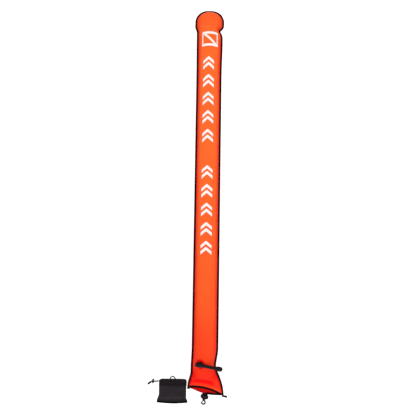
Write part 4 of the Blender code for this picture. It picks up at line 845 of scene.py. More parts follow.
def coated_nylon(name, crown, side, deep, roughness, glow, gloss):
    """Fluorescent nylon with a smooth coating: the colour goes from crown colour over side
    colour to the deepest red and on to a dark red with the place's value on the mesh. The
    side and deepest reds are partly painted shade, the dark red is painted shade beside the
    seams, and glow makes the cloth shine in its own colour: painted light."""
    material, tree, shader = start_material(name, roughness, gloss)
    cloth, across, along = cloth_places(tree)
    red = node(tree, "Attribute", attribute_name="dye_and_painted_shade", attribute_type="GEOMETRY")
    worn = handled(tree, cloth, 9.0, 90.0)
    drift = sum_of(tree, "MULTIPLY_ADD", worn["Shade"], 0.07, -0.035)
    depth = sum_of(tree, "MULTIPLY", sum_of(tree, "ADD", red.outputs["Fac"], drift), 0.8)
    dye = node(tree, "ValToRGB", {0: depth})
    stops = dye.color_ramp.elements
    # The ramp's end, 8c1006, is painted shade in the valley beside a seam; the side and deep
    # colours are partly painted shade.
    stops[0].color, stops[1].color = colour(crown), colour("8c1006")
    stops.new(0.38).color = colour(side)
    stops.new(0.80).color = colour(deep)
    weave = woven(tree, across, along, CLOTH_PITCH)
    threads = sum_of(tree, "MULTIPLY_ADD", weave["Shade"], -0.12, 0.12)
    tone = blend_of(tree, threads, dye.outputs[0], "c01a08")
    # The cloth also emits its own colour by glow: painted light.
    feed(tree, shader, {
        "Base Color": tone, "Emission Color": tone, "Emission Strength": glow,
        "Roughness": sum_of(tree, "ADD", worn["Roughness Shift"], roughness),
    })
    relief = bump(tree, shader, weave["Height"], 0.00005, 0.5)
    bump(tree, shader, worn["Grain"], 0.0006, 0.18, relief)
    return material


# The outer cloth: its side and deep reds are partly painted shade, and glow 0.13 is painted
# light.
bag_outside = coated_nylon("fluorescent_nylon", "f4692a", "f2411c", "ee0208", 0.62, 0.13, 0.05)
# The inner side, also used for the baffles: the same cloth in darker reds as painted shade
# inside the bag, with a weaker painted glow.
bag_inside_shaded = coated_nylon("coated_inside_shaded", "dc1c10", "cc0a0c", "a00406", 0.5, 0.05, 0.03)

front_panel = panel_mesh("bag_front", 1, [bag_outside, bag_inside_shaded])
line_with_wall(front_panel, FABRIC, 1)
back_panel = panel_mesh("bag_back", -1, [bag_outside, bag_inside_shaded])
line_with_wall(back_panel, FABRIC, 1)
for piece, node_name, rest in (
    (front_panel, "front_panel", "bag_back"), (back_panel, "back_panel", "floor"),
):
    dress(piece, "bag", node_name)


# The binding: a black grosgrain tape folded over the welded edge all round but the
# mouth, and over both lips of the mouth, each held by one row of stitches.

BINDING_SETBACK = 0.0007
BINDING_PROUD = 0.0013
STAIN_WIDTH = 0.0022
LIP_TAPE_SPAN = 0.997
LIP_TAPE_PROUD = 0.0008
BACK_LIP_ROLL = 0.15
TAPE_RIB_PITCH = 0.0011
TAPE_STITCH_ROW = 0.0016
STITCH_PITCH = 0.0034
STITCH_SHARE = 0.68
STITCH_HALF = 0.00032


def folded_tape(edge, inner, cloth):
    """The outline of a tape folded over an edge, as (outward, up) pairs."""
    near = cloth / 2 + GAP
    far = near + TAPE
    tip = edge - TAPE
    return [
        (inner, -far), ((inner + edge) / 2, -far), (edge - far * 0.6, -far * 0.92),
        (edge - far * 0.15, -far * 0.5), (edge, 0.0), (edge - far * 0.15, far * 0.5),
        (edge - far * 0.6, far * 0.92), ((inner + edge) / 2, far), (inner, far),
        (inner, near), (tip, near), (tip, -near), (inner, -near),
    ]


def stitch_row():
    """A row of stitches. Along, Beside and Row, its place beside, are in metres."""
    group, entry, leave = start_group(
        "stitch_row", [("Along", "Float"), ("Beside", "Float"), ("Row", "Float")],
        [("Mask", "Float")],
    )
    pitches = sum_of(group, "DIVIDE", entry.outputs["Along"], STITCH_PITCH)
    on_stitch = sum_of(group, "LESS_THAN", sum_of(group, "FRACT", pitches), STITCH_SHARE)
    apart = sum_of(group, "SUBTRACT", entry.outputs["Beside"], entry.outputs["Row"])
    near_row = sum_of(group, "LESS_THAN", sum_of(group, "ABSOLUTE", apart), STITCH_HALF)
    feed(group, leave, {"Mask": sum_of(group, "MULTIPLY", on_stitch, near_row)})
    return group


STITCHES = stitch_row()


def stitches(tree, along, beside, row):
    """1 on the stitches of a row and 0 beside them."""
    return use_group(tree, STITCHES, {"Along": along, "Beside": beside, "Row": row})["Mask"]


def sewn_tape(name, stain):
    """Black ribbed tape with one row of stitches near its inner edge. Stain is how
    much of the bag's red shows along that edge."""
    material, tree, shader = start_material(name, 0.8, 0.04)
    cloth, across, along = cloth_places(tree)
    rib = woven(tree, sum_of(tree, "MULTIPLY", across, 0.5), along, TAPE_RIB_PITCH)
    worn = handled(tree, cloth, 20.0, 260.0)
    stitch = stitches(tree, along, across, TAPE_STITCH_ROW)
    edge = node(tree, "MapRange", {
        "Value": across, "From Max": STAIN_WIDTH, "To Min": stain, "To Max": 0.0,
    })
    tone = blend_of(tree, worn["Shade"], "070405", "0f0a0b")
    tone = blend_of(tree, stitch, tone, "211c1d")
    tone = blend_of(tree, edge.outputs["Result"], tone, "3c0a08")
    feed(tree, shader, {"Base Color": tone})
    relief = bump(tree, shader, rib["Height"], 0.00015, 0.7)
    bump(tree, shader, stitch, 0.0003, 0.8, relief)
    return material


def tape_sweep(name, rings, outline, material):
    """A folded tape through its cross-sections. Its cloth coordinates run from the
    tape's inner edge outwards and along it."""
    points, flat = [], []
    size = len(outline)
    inner = min(out for out, _ in outline)
    length = 0.0
    for j, ring in enumerate(rings):
        length += (ring[0] - rings[max(j - 1, 0)][0]).length
        points += ring
        flat += [(out - inner, length) for out, _ in outline]
    faces = grid_faces(len(rings), size, closed=True)
    faces += [tuple(range(size)), tuple(range(len(points) - size, len(points)))[::-1]]
    return close_up(add_mesh(name, points, faces, [material], flat), 50)


tape = sewn_tape("binding_tape", 0.8)
binding_reach = BINDING_EDGE + BINDING_PROUD
outline = folded_tape(binding_reach, BINDING_SETBACK, 2 * SEAM_HALF)
rings = []
for point, outward in zip(SEAM_LINE, SEAM_OUTWARD):
    draw = 0.00025 * wave(point.y * 60.0, point.x * 60.0, 2.0)
    ring = []
    for out, up in outline:
        drawn = out + (draw if 0.002 < out < binding_reach - 0.0001 else 0.0)
        ring.append(point + outward * drawn + Vector((0, 0, up)))
    rings.append(ring)
edge_tape = tape_sweep("edge_tape", rings, outline, tape)
dress(edge_tape, "bag", "edge_binding")

lip_edge = GAP + TAPE
lip_outline = folded_tape(lip_edge, -LIP_TAPE_WIDTH - LIP_TAPE_PROUD, FABRIC)
for lip_name, side in (("front_lip", 1), ("back_lip", -1)):
    rings = []
    mouth, inner_row = bag_row(MOUTH_Y), bag_row(MOUTH_Y + LIP_TAPE_WIDTH)
    for u in spaced(-LIP_TAPE_SPAN, LIP_TAPE_SPAN, 60):
        lip = bag_point(mouth, u, side)
        beside = bag_point(mouth, u + 0.01, side) - bag_point(mouth, u - 0.01, side)
        out = (lip - bag_point(inner_row, u, side)).normalized()
        up_way = beside.cross(out).normalized() * -side
        up_way = -up_way if up_way.z * side < 0 else up_way
        middle = lip - up_way * FABRIC / 2
        shown = 1.0 if side > 0 else mix(BACK_LIP_ROLL, 1.0, smooth(u, -0.12, 0.12))
        ring = []
        for a, b in lip_outline:
            reach = (a - lip_edge) * (shown if b < 0.0 and a < 0.0 else 1.0)
            ring.append(middle + out * (lip_edge + reach) + up_way * b)
        rings.append(ring)
    lip_tape = tape_sweep(lip_name + "_tape", rings, lip_outline, tape)
    dress(lip_tape, "bag", lip_name + "_binding")


# The marks: white screen-printed ink on the front panel. A signal flag, a box with one
# diagonal, stands below the neck, and ten double chevrons point to the head below it.

INK = 0.0003
INK_LIFT = 0.0003
FLAG_TOP = 0.7687
FLAG_HEIGHT = 0.070
FLAG_HALF_WIDTH = 0.0400
FLAG_MIDDLE = 0.0030
FLAG_BAR = 0.0115
FLAG_SIDE_BAR = 0.0062
FLAG_DIAGONAL = 0.0150
CHEVRON_PLACES = (
    0.6161, 0.5298, 0.4446, 0.3576, 0.2692, 0.0997, 0.0133, -0.0724, -0.1602, -0.2445,
)
CHEVRON_X = -0.0025
CHEVRON_HALF_WIDTH = 0.0262
CHEVRON_STROKE = 0.0150
CHEVRON_APART = 0.0270
CHEVRON_DROP = 0.0210


def on_front(across, y, lift):
    """The place over the front panel's cloth, across is measured along the cloth."""
    row = bag_row(y)
    spread = 2.0 * math.atan2(row.rise, row.half)
    u = (across - row.centre) * math.sin(spread) / (row.half * spread)
    return bag_point(row, u, 1, sag(y, u, 1) - lift)


def print_strip(edges, steps, rungs):
    """Points and faces of a strip of ink between two lines; edges(t) gives both ends of
    the strip's rung at t."""
    points, flat = [], []
    for t in spaced(0.0, 1.0, steps):
        one, other = edges(t)
        for k in spaced(0.0, 1.0, rungs):
            x, y = mix(one[0], other[0], k), mix(one[1], other[1], k)
            points.append(on_front(x, y, INK_LIFT + INK))
            flat.append((x, y))
    return points, flat, grid_faces(steps + 1, rungs + 1)


def print_mark(name, strips):
    """One printed mark from its strips, as a film that faces up."""
    points, flat, faces = [], [], []
    for strip_points, strip_flat, strip_faces in strips:
        shift = len(points)
        points += strip_points
        flat += strip_flat
        faces += [tuple(i + shift for i in face) for face in strip_faces]
    mark = add_mesh(name, points, faces, [ink], flat)
    bm = bmesh.new()
    bm.from_mesh(mark.data)
    bmesh.ops.remove_doubles(bm, verts=bm.verts, dist=0.00002)
    for face in bm.faces:
        if face.normal.z < 0:
            face.normal_flip()
    bm.to_mesh(mark.data)
    bm.free()
    mark.data.shade_smooth()
    line_with_wall(mark, INK)
    dress(mark, "bag", None)


ink, tree, shader = start_material("white_ink", 0.5, 0.4)
cloth, across, along = cloth_places(tree)
worn = handled(tree, cloth, 40.0, 300.0)
feed(tree, shader, {"Base Color": blend_of(tree, worn["Shade"], "f8eeea", "fffaf7")})
bump(tree, shader, woven(tree, across, along, CLOTH_PITCH)["Height"], 0.00004, 0.4)


def bar_between(x0, y0, x1, y1):
    """A strip of ink over an upright rectangle of the cloth."""
    if x1 - x0 > y1 - y0:
        return print_strip(lambda t: ((mix(x0, x1, t), y0), (mix(x0, x1, t), y1)), 32, 4)
    return print_strip(lambda t: ((x0, mix(y0, y1, t)), (x1, mix(y0, y1, t))), 28, 4)


def diagonal_ends(t):
    """Both ends of a rung of the flag's diagonal, from its upper left at 0."""
    y = mix(inner_top, inner_bottom, t)
    return (
        (mix(inner_left, inner_right - FLAG_DIAGONAL, t), y),
        (mix(inner_left + FLAG_DIAGONAL, inner_right, t), y),
    )


left, right = FLAG_MIDDLE - FLAG_HALF_WIDTH, FLAG_MIDDLE + FLAG_HALF_WIDTH
inner_left, inner_right = left + FLAG_SIDE_BAR, right - FLAG_SIDE_BAR
bottom = FLAG_TOP - FLAG_HEIGHT
inner_top, inner_bottom = FLAG_TOP - FLAG_BAR, bottom + FLAG_BAR
print_mark("printed_flag", [
    bar_between(left, inner_top, right, FLAG_TOP),
    bar_between(left, bottom, right, inner_bottom),
    bar_between(left, inner_bottom, inner_left, inner_top),
    bar_between(inner_right, inner_bottom, right, inner_top),
    print_strip(diagonal_ends, 28, 5),
])


def chevron_ends(low, hand, t):
    """Both ends of an upright rung of a chevron's arm, from the chevron's tip at 0."""
    x, drop = CHEVRON_X + hand * CHEVRON_HALF_WIDTH * t, CHEVRON_DROP * t
    return (x, low - drop), (x, low + CHEVRON_STROKE - drop)


for number, place in enumerate(CHEVRON_PLACES):
    strips = []
    for shift in (-CHEVRON_APART / 2, CHEVRON_APART / 2):
        low = place + shift - (CHEVRON_STROKE - CHEVRON_DROP) / 2
        strips += [print_strip(partial(chevron_ends, low, hand), 12, 6) for hand in (-1, 1)]
    print_mark(f"printed_chevrons_{number + 1}", strips)


# The baffles: two inner sheets of the same nylon that start at the panels above the
# mouth and close on each other, so that air which enters from below stays in.

BAFFLE_FROM_MOUTH = 0.052
BAFFLE_LENGTH = 0.200
BAFFLE_CLOSING = 0.080
BAFFLE_PARTING = 0.0015
BAFFLE_COLUMNS = 24

for baffle_name, side in (("front_baffle", 1), ("back_baffle", -1)):
    points, flat = [], []
    start = MOUTH_Y + BAFFLE_FROM_MOUTH
    baffle_rows = spaced(start + 0.001, start + BAFFLE_LENGTH - 0.012, 40)
    for y in baffle_rows:
        row = bag_row(y)
        inset = FABRIC + 0.0052 * (1.0 - smooth(y, start + 0.02, start + 0.05)) + 0.0006
        closing = smooth(y, start, start + BAFFLE_CLOSING)
        row.half -= inset
        row.rise = mix(row.rise - inset, BAFFLE_PARTING, closing)
        row.drop = mix(row.drop - inset, BAFFLE_PARTING, closing)
        for u in spaced(-1.0, 1.0, BAFFLE_COLUMNS):
            ripple = 0.0006 * wave(y * 22.0, u * 3.0, 6.0) * (1.0 - abs(u)) * (1.0 - closing)
            point = bag_point(row, u, side)
            point.z = max(point.z + ripple, row.floor + inset)
            points.append(point)
            flat.append((row.half * 1.5 * u, y))
    sheet = add_mesh(
        baffle_name + "_sheet", points, grid_faces(len(baffle_rows), BAFFLE_COLUMNS + 1),
        [bag_inside_shaded], flat, {"dye_and_painted_shade": [0.8] * len(points)},
    )
    face_up(sheet, side)
    line_with_wall(sheet, FABRIC)
    dress(sheet, "bag", baffle_name)


# The corner pieces: the right mouth corner has a folded loop of black tape, and at the
# left corner only the short folded end of such a tape shows.

LOOP_TAPE_WIDTH = 0.0075
LOOP_TAPE = 0.0010
LOOP_EYE_RADIUS = 0.0014


def turn_towards(centre, radius, target, steps):
    """Points round a circle from its lowest point, in a plane of (along, up), to where
    a straight line leaves for the target."""
    away = (target[0] - centre[0], target[1] - centre[1])
    end = math.atan2(away[1], away[0]) % math.tau - math.acos(radius / math.hypot(*away))
    x, y = centre
    angles = spaced(-math.pi / 2, end, steps)
    return [(x + radius * math.cos(angle), y + radius * math.sin(angle)) for angle in angles]


def straight(start, end, steps):
    """Places on a straight line between two, with both ends."""
    return [(mix(start[0], end[0], k), mix(start[1], end[1], k)) for k in spaced(0, 1, steps)]


def strap(name, line, across, width, thickness, material):
    """A flat strap that follows a line, with soft edges; across is its width's way."""
    half, thin = width / 2, thickness / 2
    section = [
        (-half, 0.0), (-half + thin * 0.5, thin), (-half * 0.5, thin), (0.0, thin),
        (half * 0.5, thin), (half - thin * 0.5, thin), (half, 0.0),
        (half - thin * 0.5, -thin), (half * 0.5, -thin), (0.0, -thin),
        (-half * 0.5, -thin), (-half + thin * 0.5, -thin),
    ]
    rings = []
    for i, point in enumerate(line):
        ahead = (line[min(i + 1, len(line) - 1)] - line[max(i - 1, 0)]).normalized()
        face = ahead.cross(across)
        rings.append([point + across * a + face * b for a, b in section])
    return tape_sweep(name, rings, section, material)


plain_tape = sewn_tape("plain_tape", 0.0)
for corner, heading_angle, length, share, lap in (
    ("loop", -20.0, 0.025, 0.7, 0.0035), ("tail", 200.0, 0.012, 0.3, 0.004),
):
    index, next_one = (0, 1) if corner == "tail" else (-1, -2)
    beyond = (SEAM_LINE[index] - SEAM_LINE[next_one]).normalized()
    facing = math.radians(heading_angle)
    heading = Vector((math.cos(facing), math.sin(facing), 0))
    across = heading.cross(Vector((0, 0, 1)))
    start = SEAM_LINE[index] + SEAM_OUTWARD[index] * BINDING_EDGE * share
    start += beyond * (abs(across.dot(beyond)) * LOOP_TAPE_WIDTH / 2 + 1.3 * GAP)
    start -= heading * lap
    spacing = (LOOP_TAPE + GAP) / 2
    turn_radius = LOOP_EYE_RADIUS + LOOP_TAPE / 2
    top_end = (0.0, start.z + spacing)
    low_end = (0.0, start.z - spacing)
    turn_centre = (length - turn_radius, turn_radius + LOOP_TAPE / 2 + GAP)
    profile = turn_towards(turn_centre, turn_radius, top_end, 14)
    lower, upper = straight(low_end, profile[0], 8), straight(profile[-1], top_end, 8)
    profile = lower[:-1] + profile + upper[1:]
    line = [Vector((start.x, start.y, 0)) + heading * s + Vector((0, 0, z)) for s, z in profile]
    piece = strap(
        "corner_tape_" + corner, line, across, LOOP_TAPE_WIDTH, LOOP_TAPE, plain_tape
    )
    dress(piece, "bag", "corner_" + corner)


# The inflator's foot: a disc of the bag's nylon welded over the air hole, its rim
# pressed flat, with the moulded rubber hub in its middle.

SPIGOT_PLACE = Vector((-0.018246, -0.753, 0.099884))
SPIGOT_AXIS = Vector((-0.27846, 0.02659, 0.96008))
SPIGOT_SIDE = Vector((0.9377, -0.20874, 0.27775))
PATCH = 0.0006
AIR_BORE_RADIUS = 0.0040
HUB_RADIUS = 0.0120
PATCH_STEPS = 72


def frame_along(origin, axis, side):
    """A frame at origin with z along axis and x as near to side as it goes."""
    z = Vector(axis).normalized()
    x = (Vector(side) - Vector(side).dot(z) * z).normalized()
    return Matrix.Translation(origin) @ Matrix((x, z.cross(x), z)).transposed().to_4x4()


def front_height(x, y, above):
    """The height, over a place on the floor, of a surface that lies above the front
    panel's outer surface by a distance square to it."""
    row = bag_row(y)
    spread = 2.0 * math.atan2(row.rise, row.half)
    sine = (x - row.centre) * math.sin(spread) / row.half
    cosine = math.sqrt(1.0 - sine**2)
    up = row.half * (cosine - math.cos(spread)) / math.sin(spread)
    return row.seam + SEAM_HALF + up + above / cosine


spigot = frame_along(SPIGOT_PLACE, SPIGOT_AXIS, SPIGOT_SIDE)
patch_radii = [AIR_BORE_RADIUS, 0.006, 0.009, 0.012, 0.0135, 0.015, 0.0165, 0.018, 0.0192]
patch_radii += [0.0200, PATCH_RADIUS]
points, flat = [], []
for radius in patch_radii:
    for k in range(PATCH_STEPS):
        angle = math.tau * k / PATCH_STEPS
        place = spigot @ Vector((radius * math.cos(angle), radius * math.sin(angle), 0))
        pressed = 0.0003 * math.exp(-(((radius - 0.0165) / 0.0009) ** 2))
        pressed += 0.0001 * smooth(radius, 0.0195, PATCH_RADIUS)
        place.z = front_height(place.x, place.y, GAP + PATCH + 0.0004 - pressed)
        points.append(place)
        flat.append((radius * math.cos(angle), radius * math.sin(angle)))
patch = add_mesh(
    "inflator_disc", points, grid_faces(len(patch_radii), PATCH_STEPS, closed=True),
    [bag_outside], flat, {"dye_and_painted_shade": [1.0] * len(points)},
)
face_up(patch)
line_with_wall(patch, PATCH)
dress(patch, "bag", "inflator_patch")


# The oral inflator: a black moulded elbow turns on the hub's spigot and holds a smooth
# rubber hose with a mouthpiece, whose valve is a sprung plunger with a silicone seal.

HOSE_PLACE = Vector((-0.022284, -0.752614, 0.113805))
HOSE_AXIS = Vector((0.97815, -0.20791, 0))
ELBOW_TURN = 2.3
HOSE_RADIUS = 0.00625
HOSE_BORE_RADIUS = 0.0040
HOSE_START = 0.0088
HOSE_END = 0.0748
HOSE_SHOWN_RADIUS = 0.0067
HOSE_SHOWN_START = 0.0161
HOSE_SHOWN_END = 0.0675
HOSE_STEP = 0.0003
HOSE_PARTS = 44
ELBOW_BACK = 0.0205
ELBOW_FRONT = 0.0160
ELBOW_RADIUS = 0.0098
ELBOW_HEIGHT = 0.0145
SOCKET_RADIUS = HOSE_RADIUS + GAP
SOCKET_DEPTH = 0.0075
MOUTHPIECE_START = 0.0676
MOUTHPIECE_LENGTH = 0.0314
VALVE_BORE_RADIUS = 0.0050
VALVE_SEAT_HEIGHT = 0.0095
PLUNGER_STEM_RADIUS = 0.0022
PLUNGER_TIP = 0.0339
PLUNGER_HEAD = 0.0184


def select_only(piece):
    """Makes a piece the one that operators work on."""
    bpy.ops.object.select_all(action="DESELECT")
    piece.select_set(True)
    bpy.context.view_layer.objects.active = piece


def apply_step(piece, kind, **settings):
    """Adds one modifier to a piece and applies it."""
    select_only(piece)
    modifier = piece.modifiers.new("step", kind)
    for name, value in settings.items():
        setattr(modifier, name, value)
    bpy.ops.object.modifier_apply(modifier=modifier.name)


def combine(piece, tool, operation):
    """Joins a tool to a piece or cuts it from the piece, and takes the tool away."""
    apply_step(piece, "BOOLEAN", operation=operation, solver="EXACT", object=tool)
    bpy.data.objects.remove(tool)


def round_off(piece, width, segments=2):
    """Rounds the sharp edges of a moulding."""
    apply_step(
        piece, "BEVEL", width=width, segments=segments, limit_method="ANGLE",
        angle_limit=math.radians(35),
    )


def move_to(piece, place):
    """Puts a piece at a frame, with its place in its mesh."""
    piece.matrix_world = place
    select_only(piece)
    bpy.ops.object.transform_apply(location=True, rotation=True, scale=True)


def turned(name, profile, place, steps=56, through=False):
    """A round piece about the frame's z axis: a disc that is extruded and sized step by
    step along its outline of (radius, height) pairs. Through joins the two end discs by
    a bore."""
    bpy.ops.object.select_all(action="DESELECT")
    radius, height = profile[0]
    bpy.ops.mesh.primitive_circle_add(vertices=steps, radius=radius, fill_type="NGON")
    piece = bpy.context.object
    piece.name = name
    bpy.ops.object.mode_set(mode="EDIT")
    bpy.ops.mesh.select_all(action="SELECT")
    bpy.ops.transform.translate(value=(0, 0, height))
    for (radius, height), (next_radius, next_height) in zip(profile, profile[1:]):
        bpy.ops.mesh.extrude_region_move(
            TRANSFORM_OT_translate={"value": (0, 0, next_height - height)}
        )
        size = next_radius / radius
        bpy.ops.transform.resize(value=(size, size, 1), center_override=(0, 0, next_height))
    if through:
        bm = bmesh.from_edit_mesh(piece.data)
        for face in bm.faces:
            face.select_set(len(face.verts) == steps)
        bmesh.update_edit_mesh(piece.data)
        bpy.ops.mesh.delete(type="ONLY_FACE")
        bpy.ops.mesh.select_all(action="DESELECT")
        bpy.ops.mesh.select_mode(type="EDGE")
        bpy.ops.mesh.select_non_manifold()
        bpy.ops.mesh.bridge_edge_loops()
        bpy.ops.mesh.select_mode(type="VERT")
    bpy.ops.mesh.select_all(action="SELECT")
    bpy.ops.mesh.normals_make_consistent(inside=False)
    bpy.ops.object.mode_set(mode="OBJECT")
    move_to(piece, place)
    return piece


def coil_spring(name, radius, wire, low, high, turns, place):
    """A compression spring: the wire's round section, screwed up about the z axis of a
    frame from low to high."""
    bpy.ops.object.select_all(action="DESELECT")
    bpy.ops.mesh.primitive_circle_add(
        vertices=12, radius=wire / 2, location=(radius, 0, low + wire / 2),
        rotation=(math.pi / 2, 0, 0),
    )
    piece = bpy.context.object
    piece.name = name
    bpy.ops.object.transform_apply(location=True, rotation=True, scale=True)
    apply_step(
        piece, "SCREW", screw_offset=(high - low - wire) / turns, iterations=turns,
        steps=30, render_steps=30,
    )
    bpy.ops.object.mode_set(mode="EDIT")
    bpy.ops.mesh.select_all(action="SELECT")
    bpy.ops.mesh.fill_holes(sides=0)
    bpy.ops.mesh.select_all(action="SELECT")
    bpy.ops.mesh.normals_make_consistent(inside=False)
    bpy.ops.object.mode_set(mode="OBJECT")
    move_to(piece, place)
    return piece


def soft_outline(points):
    """A smooth outline through (radius, height) pairs."""
    return [(p.x, p.y) for p in curve_through([(r, h, 0.0) for r, h in points], 4)]


def finish_moulding(piece, body, node_name, material):
    """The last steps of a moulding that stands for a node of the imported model."""
    piece.data.materials.clear()
    piece.data.materials.append(material)
    select_only(piece)
    bpy.ops.object.shade_smooth_by_angle(angle=math.radians(32))
    dress(piece, body, node_name)


def moulded(name, dark, light, roughness, grain_scale, grain, gloss):
    """A moulding's plain colour, with uneven gloss and a fine grain."""
    material, tree, shader = start_material(name, roughness, gloss)
    worn = handled(tree, node(tree, "TexCoord").outputs["Object"], 90.0, grain_scale)
    feed(tree, shader, {
        "Base Color": blend_of(tree, worn["Shade"], dark, light),
        "Roughness": sum_of(tree, "ADD", worn["Roughness Shift"], roughness),
    })
    bump(tree, shader, worn["Grain"], grain, 0.5)
    return material


rubber = moulded("black_rubber", "130d0f", "1d1718", 0.52, 1500.0, 0.0001, 0.09)
plastic = moulded("black_plastic", "0b0607", "160f11", 0.36, 2200.0, 0.00006, 0.11)
silicone = moulded("clear_silicone", "a8a8a4", "c4c4c0", 0.45, 900.0, 0.00005, 0.5)
dark_steel = moulded("blackened_pin", "1a1a1c", "262629", 0.4, 2600.0, 0.00003, 0.4)

steel, tree, shader = start_material("stainless_steel", 0.28, metallic=1.0)
worn = handled(tree, node(tree, "TexCoord").outputs["Object"], 200.0, 3000.0)
feed(tree, shader, {"Base Color": blend_of(tree, worn["Shade"], "b4b4b8", "d2d2d4")})
bump(tree, shader, worn["Grain"], 0.00003, 0.4)

elbow_turn = Matrix.Rotation(math.radians(ELBOW_TURN), 3, SPIGOT_AXIS)
hose_axis = elbow_turn @ HOSE_AXIS
hose_start = SPIGOT_PLACE + elbow_turn @ (HOSE_PLACE - SPIGOT_PLACE)
hose_frame = frame_along(hose_start, hose_axis, (0, 0, 1))
shown_heights = spaced(HOSE_SHOWN_START, HOSE_SHOWN_END, HOSE_PARTS)[1:-1]
bore_heights = spaced(HOSE_END, HOSE_START, HOSE_PARTS)[:-1]
hose_profile = [
    (HOSE_BORE_RADIUS, HOSE_START), (HOSE_RADIUS, HOSE_START),
    (HOSE_RADIUS, HOSE_SHOWN_START), (HOSE_SHOWN_RADIUS, HOSE_SHOWN_START + HOSE_STEP),
    *((HOSE_SHOWN_RADIUS, height) for height in shown_heights),
    (HOSE_SHOWN_RADIUS, HOSE_SHOWN_END - HOSE_STEP), (HOSE_RADIUS, HOSE_SHOWN_END),
    (HOSE_RADIUS, HOSE_END), *((HOSE_BORE_RADIUS, height) for height in bore_heights),
]
hose = turned("inflator_hose", hose_profile, hose_frame, 40, through=True)
hose.data.materials.append(rubber)
select_only(hose)
bpy.ops.object.shade_smooth_by_angle(angle=math.radians(40))
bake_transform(hose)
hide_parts("rubber_hose")

hub_outline = [
    (AIR_BORE_RADIUS, 0.0), (0.0117, 0.0), (HUB_RADIUS, 0.0003), (HUB_RADIUS, 0.0023),
    (HUB_RADIUS - 0.0004, 0.0028), (0.0102, 0.0044), (0.0066, 0.0047), (0.0060, 0.0053),
    (0.0060, 0.0112), (0.0052, 0.0120), (AIR_BORE_RADIUS, 0.0120),
]
hub = turned("inflator_hub_moulding", hub_outline, spigot, 64, through=True)
finish_moulding(hub, "bag", "inflator_hub", rubber)

elbow_outline = soft_outline([
    (0.0016, -ELBOW_BACK), (0.0054, -ELBOW_BACK + 0.0007), (0.0086, -ELBOW_BACK + 0.0035),
    (ELBOW_RADIUS, -0.0113), (ELBOW_RADIUS, -0.0021), (0.0090, 0.0056), (0.0081, 0.0096),
    (0.0080, 0.0122),
])
elbow_outline += [
    (0.0080, 0.0124), (0.0085, 0.0128), (0.0086, 0.0144), (0.0084, ELBOW_FRONT - 0.0003),
    (0.0080, ELBOW_FRONT), (SOCKET_RADIUS, ELBOW_FRONT),
    (SOCKET_RADIUS, ELBOW_FRONT - SOCKET_DEPTH), (0.0032, ELBOW_FRONT - SOCKET_DEPTH),
    (0.0032, -0.0032),
]
elbow = turned("inflator_elbow_moulding", elbow_outline, hose_frame)
skirt = turned("elbow_skirt", [
    (0.0086, 0.0002), (0.0092, 0.0008), (0.0092, ELBOW_HEIGHT),
], spigot)
combine(elbow, skirt, "UNION")
socket = turned("elbow_socket", [
    (0.016, -0.006), (0.016, 0.0048), (0.0063, 0.0048), (0.0063, 0.0123),
], spigot)
combine(elbow, socket, "DIFFERENCE")
finish_moulding(elbow, "elbow", "inflator_elbow", plastic)

mouthpiece_frame = hose_frame @ Matrix.Translation((0, 0, MOUTHPIECE_START))
bulb = soft_outline([
    (0.0080, 0.0052), (0.0085, 0.0085), (0.0094, 0.0119), (0.0101, 0.0163), (0.0101, 0.0207),
    (0.0095, 0.0264), (0.0083, 0.0300),
])
mouthpiece_outline = [
    (PLUNGER_STEM_RADIUS + GAP, SOCKET_DEPTH), (SOCKET_RADIUS, SOCKET_DEPTH),
    (SOCKET_RADIUS, 0.0), (0.0077, 0.0), (0.0080, 0.0003), (0.0080, 0.0016),
    (0.0076, 0.0020), (0.0076, 0.0028), (0.0080, 0.0032), (0.0080, 0.0040),
    (0.0076, 0.0044), (0.0076, 0.0050), *bulb, (0.0078, 0.0310),
    (0.0073, MOUTHPIECE_LENGTH), (VALVE_BORE_RADIUS + 0.0004, MOUTHPIECE_LENGTH),
    (VALVE_BORE_RADIUS, MOUTHPIECE_LENGTH - 0.0004), (VALVE_BORE_RADIUS, VALVE_SEAT_HEIGHT),
    (PLUNGER_STEM_RADIUS + GAP, VALVE_SEAT_HEIGHT),
]
mouthpiece = turned(
    "mouthpiece_moulding", mouthpiece_outline, mouthpiece_frame, 64, through=True
)
finish_moulding(mouthpiece, "mouthpiece", "mouthpiece_body", plastic)

button_radius = VALVE_BORE_RADIUS - GAP
plunger_outline = [
    (0.0014, 0.0057), (0.0014, 0.0073), (PLUNGER_STEM_RADIUS, 0.0074),
    (PLUNGER_STEM_RADIUS, PLUNGER_HEAD), (button_radius, PLUNGER_HEAD),
    (button_radius, PLUNGER_TIP - 0.0010), (button_radius - 0.0003, PLUNGER_TIP - 0.0004),
    (button_radius - 0.0010, PLUNGER_TIP), (0.0024, PLUNGER_TIP),
    (0.0019, PLUNGER_TIP - 0.0008), (0.0008, PLUNGER_TIP - 0.0011),
]
plunger = turned("valve_button", plunger_outline, mouthpiece_frame, 48)
finish_moulding(plunger, "valve", "valve_plunger", plastic)

seal = turned("valve_seal_ring", [
    (0.0017, 0.0057), (0.0033, 0.0057), (0.0036, 0.0060), (0.0036, 0.0069),
    (0.0033, 0.0072), (0.0017, 0.0072),
], mouthpiece_frame, 40, through=True)
finish_moulding(seal, "valve", "valve_seal", silicone)

spring_low, spring_high = VALVE_SEAT_HEIGHT + GAP, PLUNGER_HEAD - GAP
valve_spring = coil_spring(
    "valve_return_spring", 0.0034, 0.0007, spring_low, spring_high, 4, mouthpiece_frame
)
finish_moulding(valve_spring, "mouthpiece", "valve_spring", steel)
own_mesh(valve_spring)


# The line attachment: black nylon webbing sewn under the back lip holds the plastic
# eye, in which the stem of the snap hook turns. The gate turns on a steel pin.

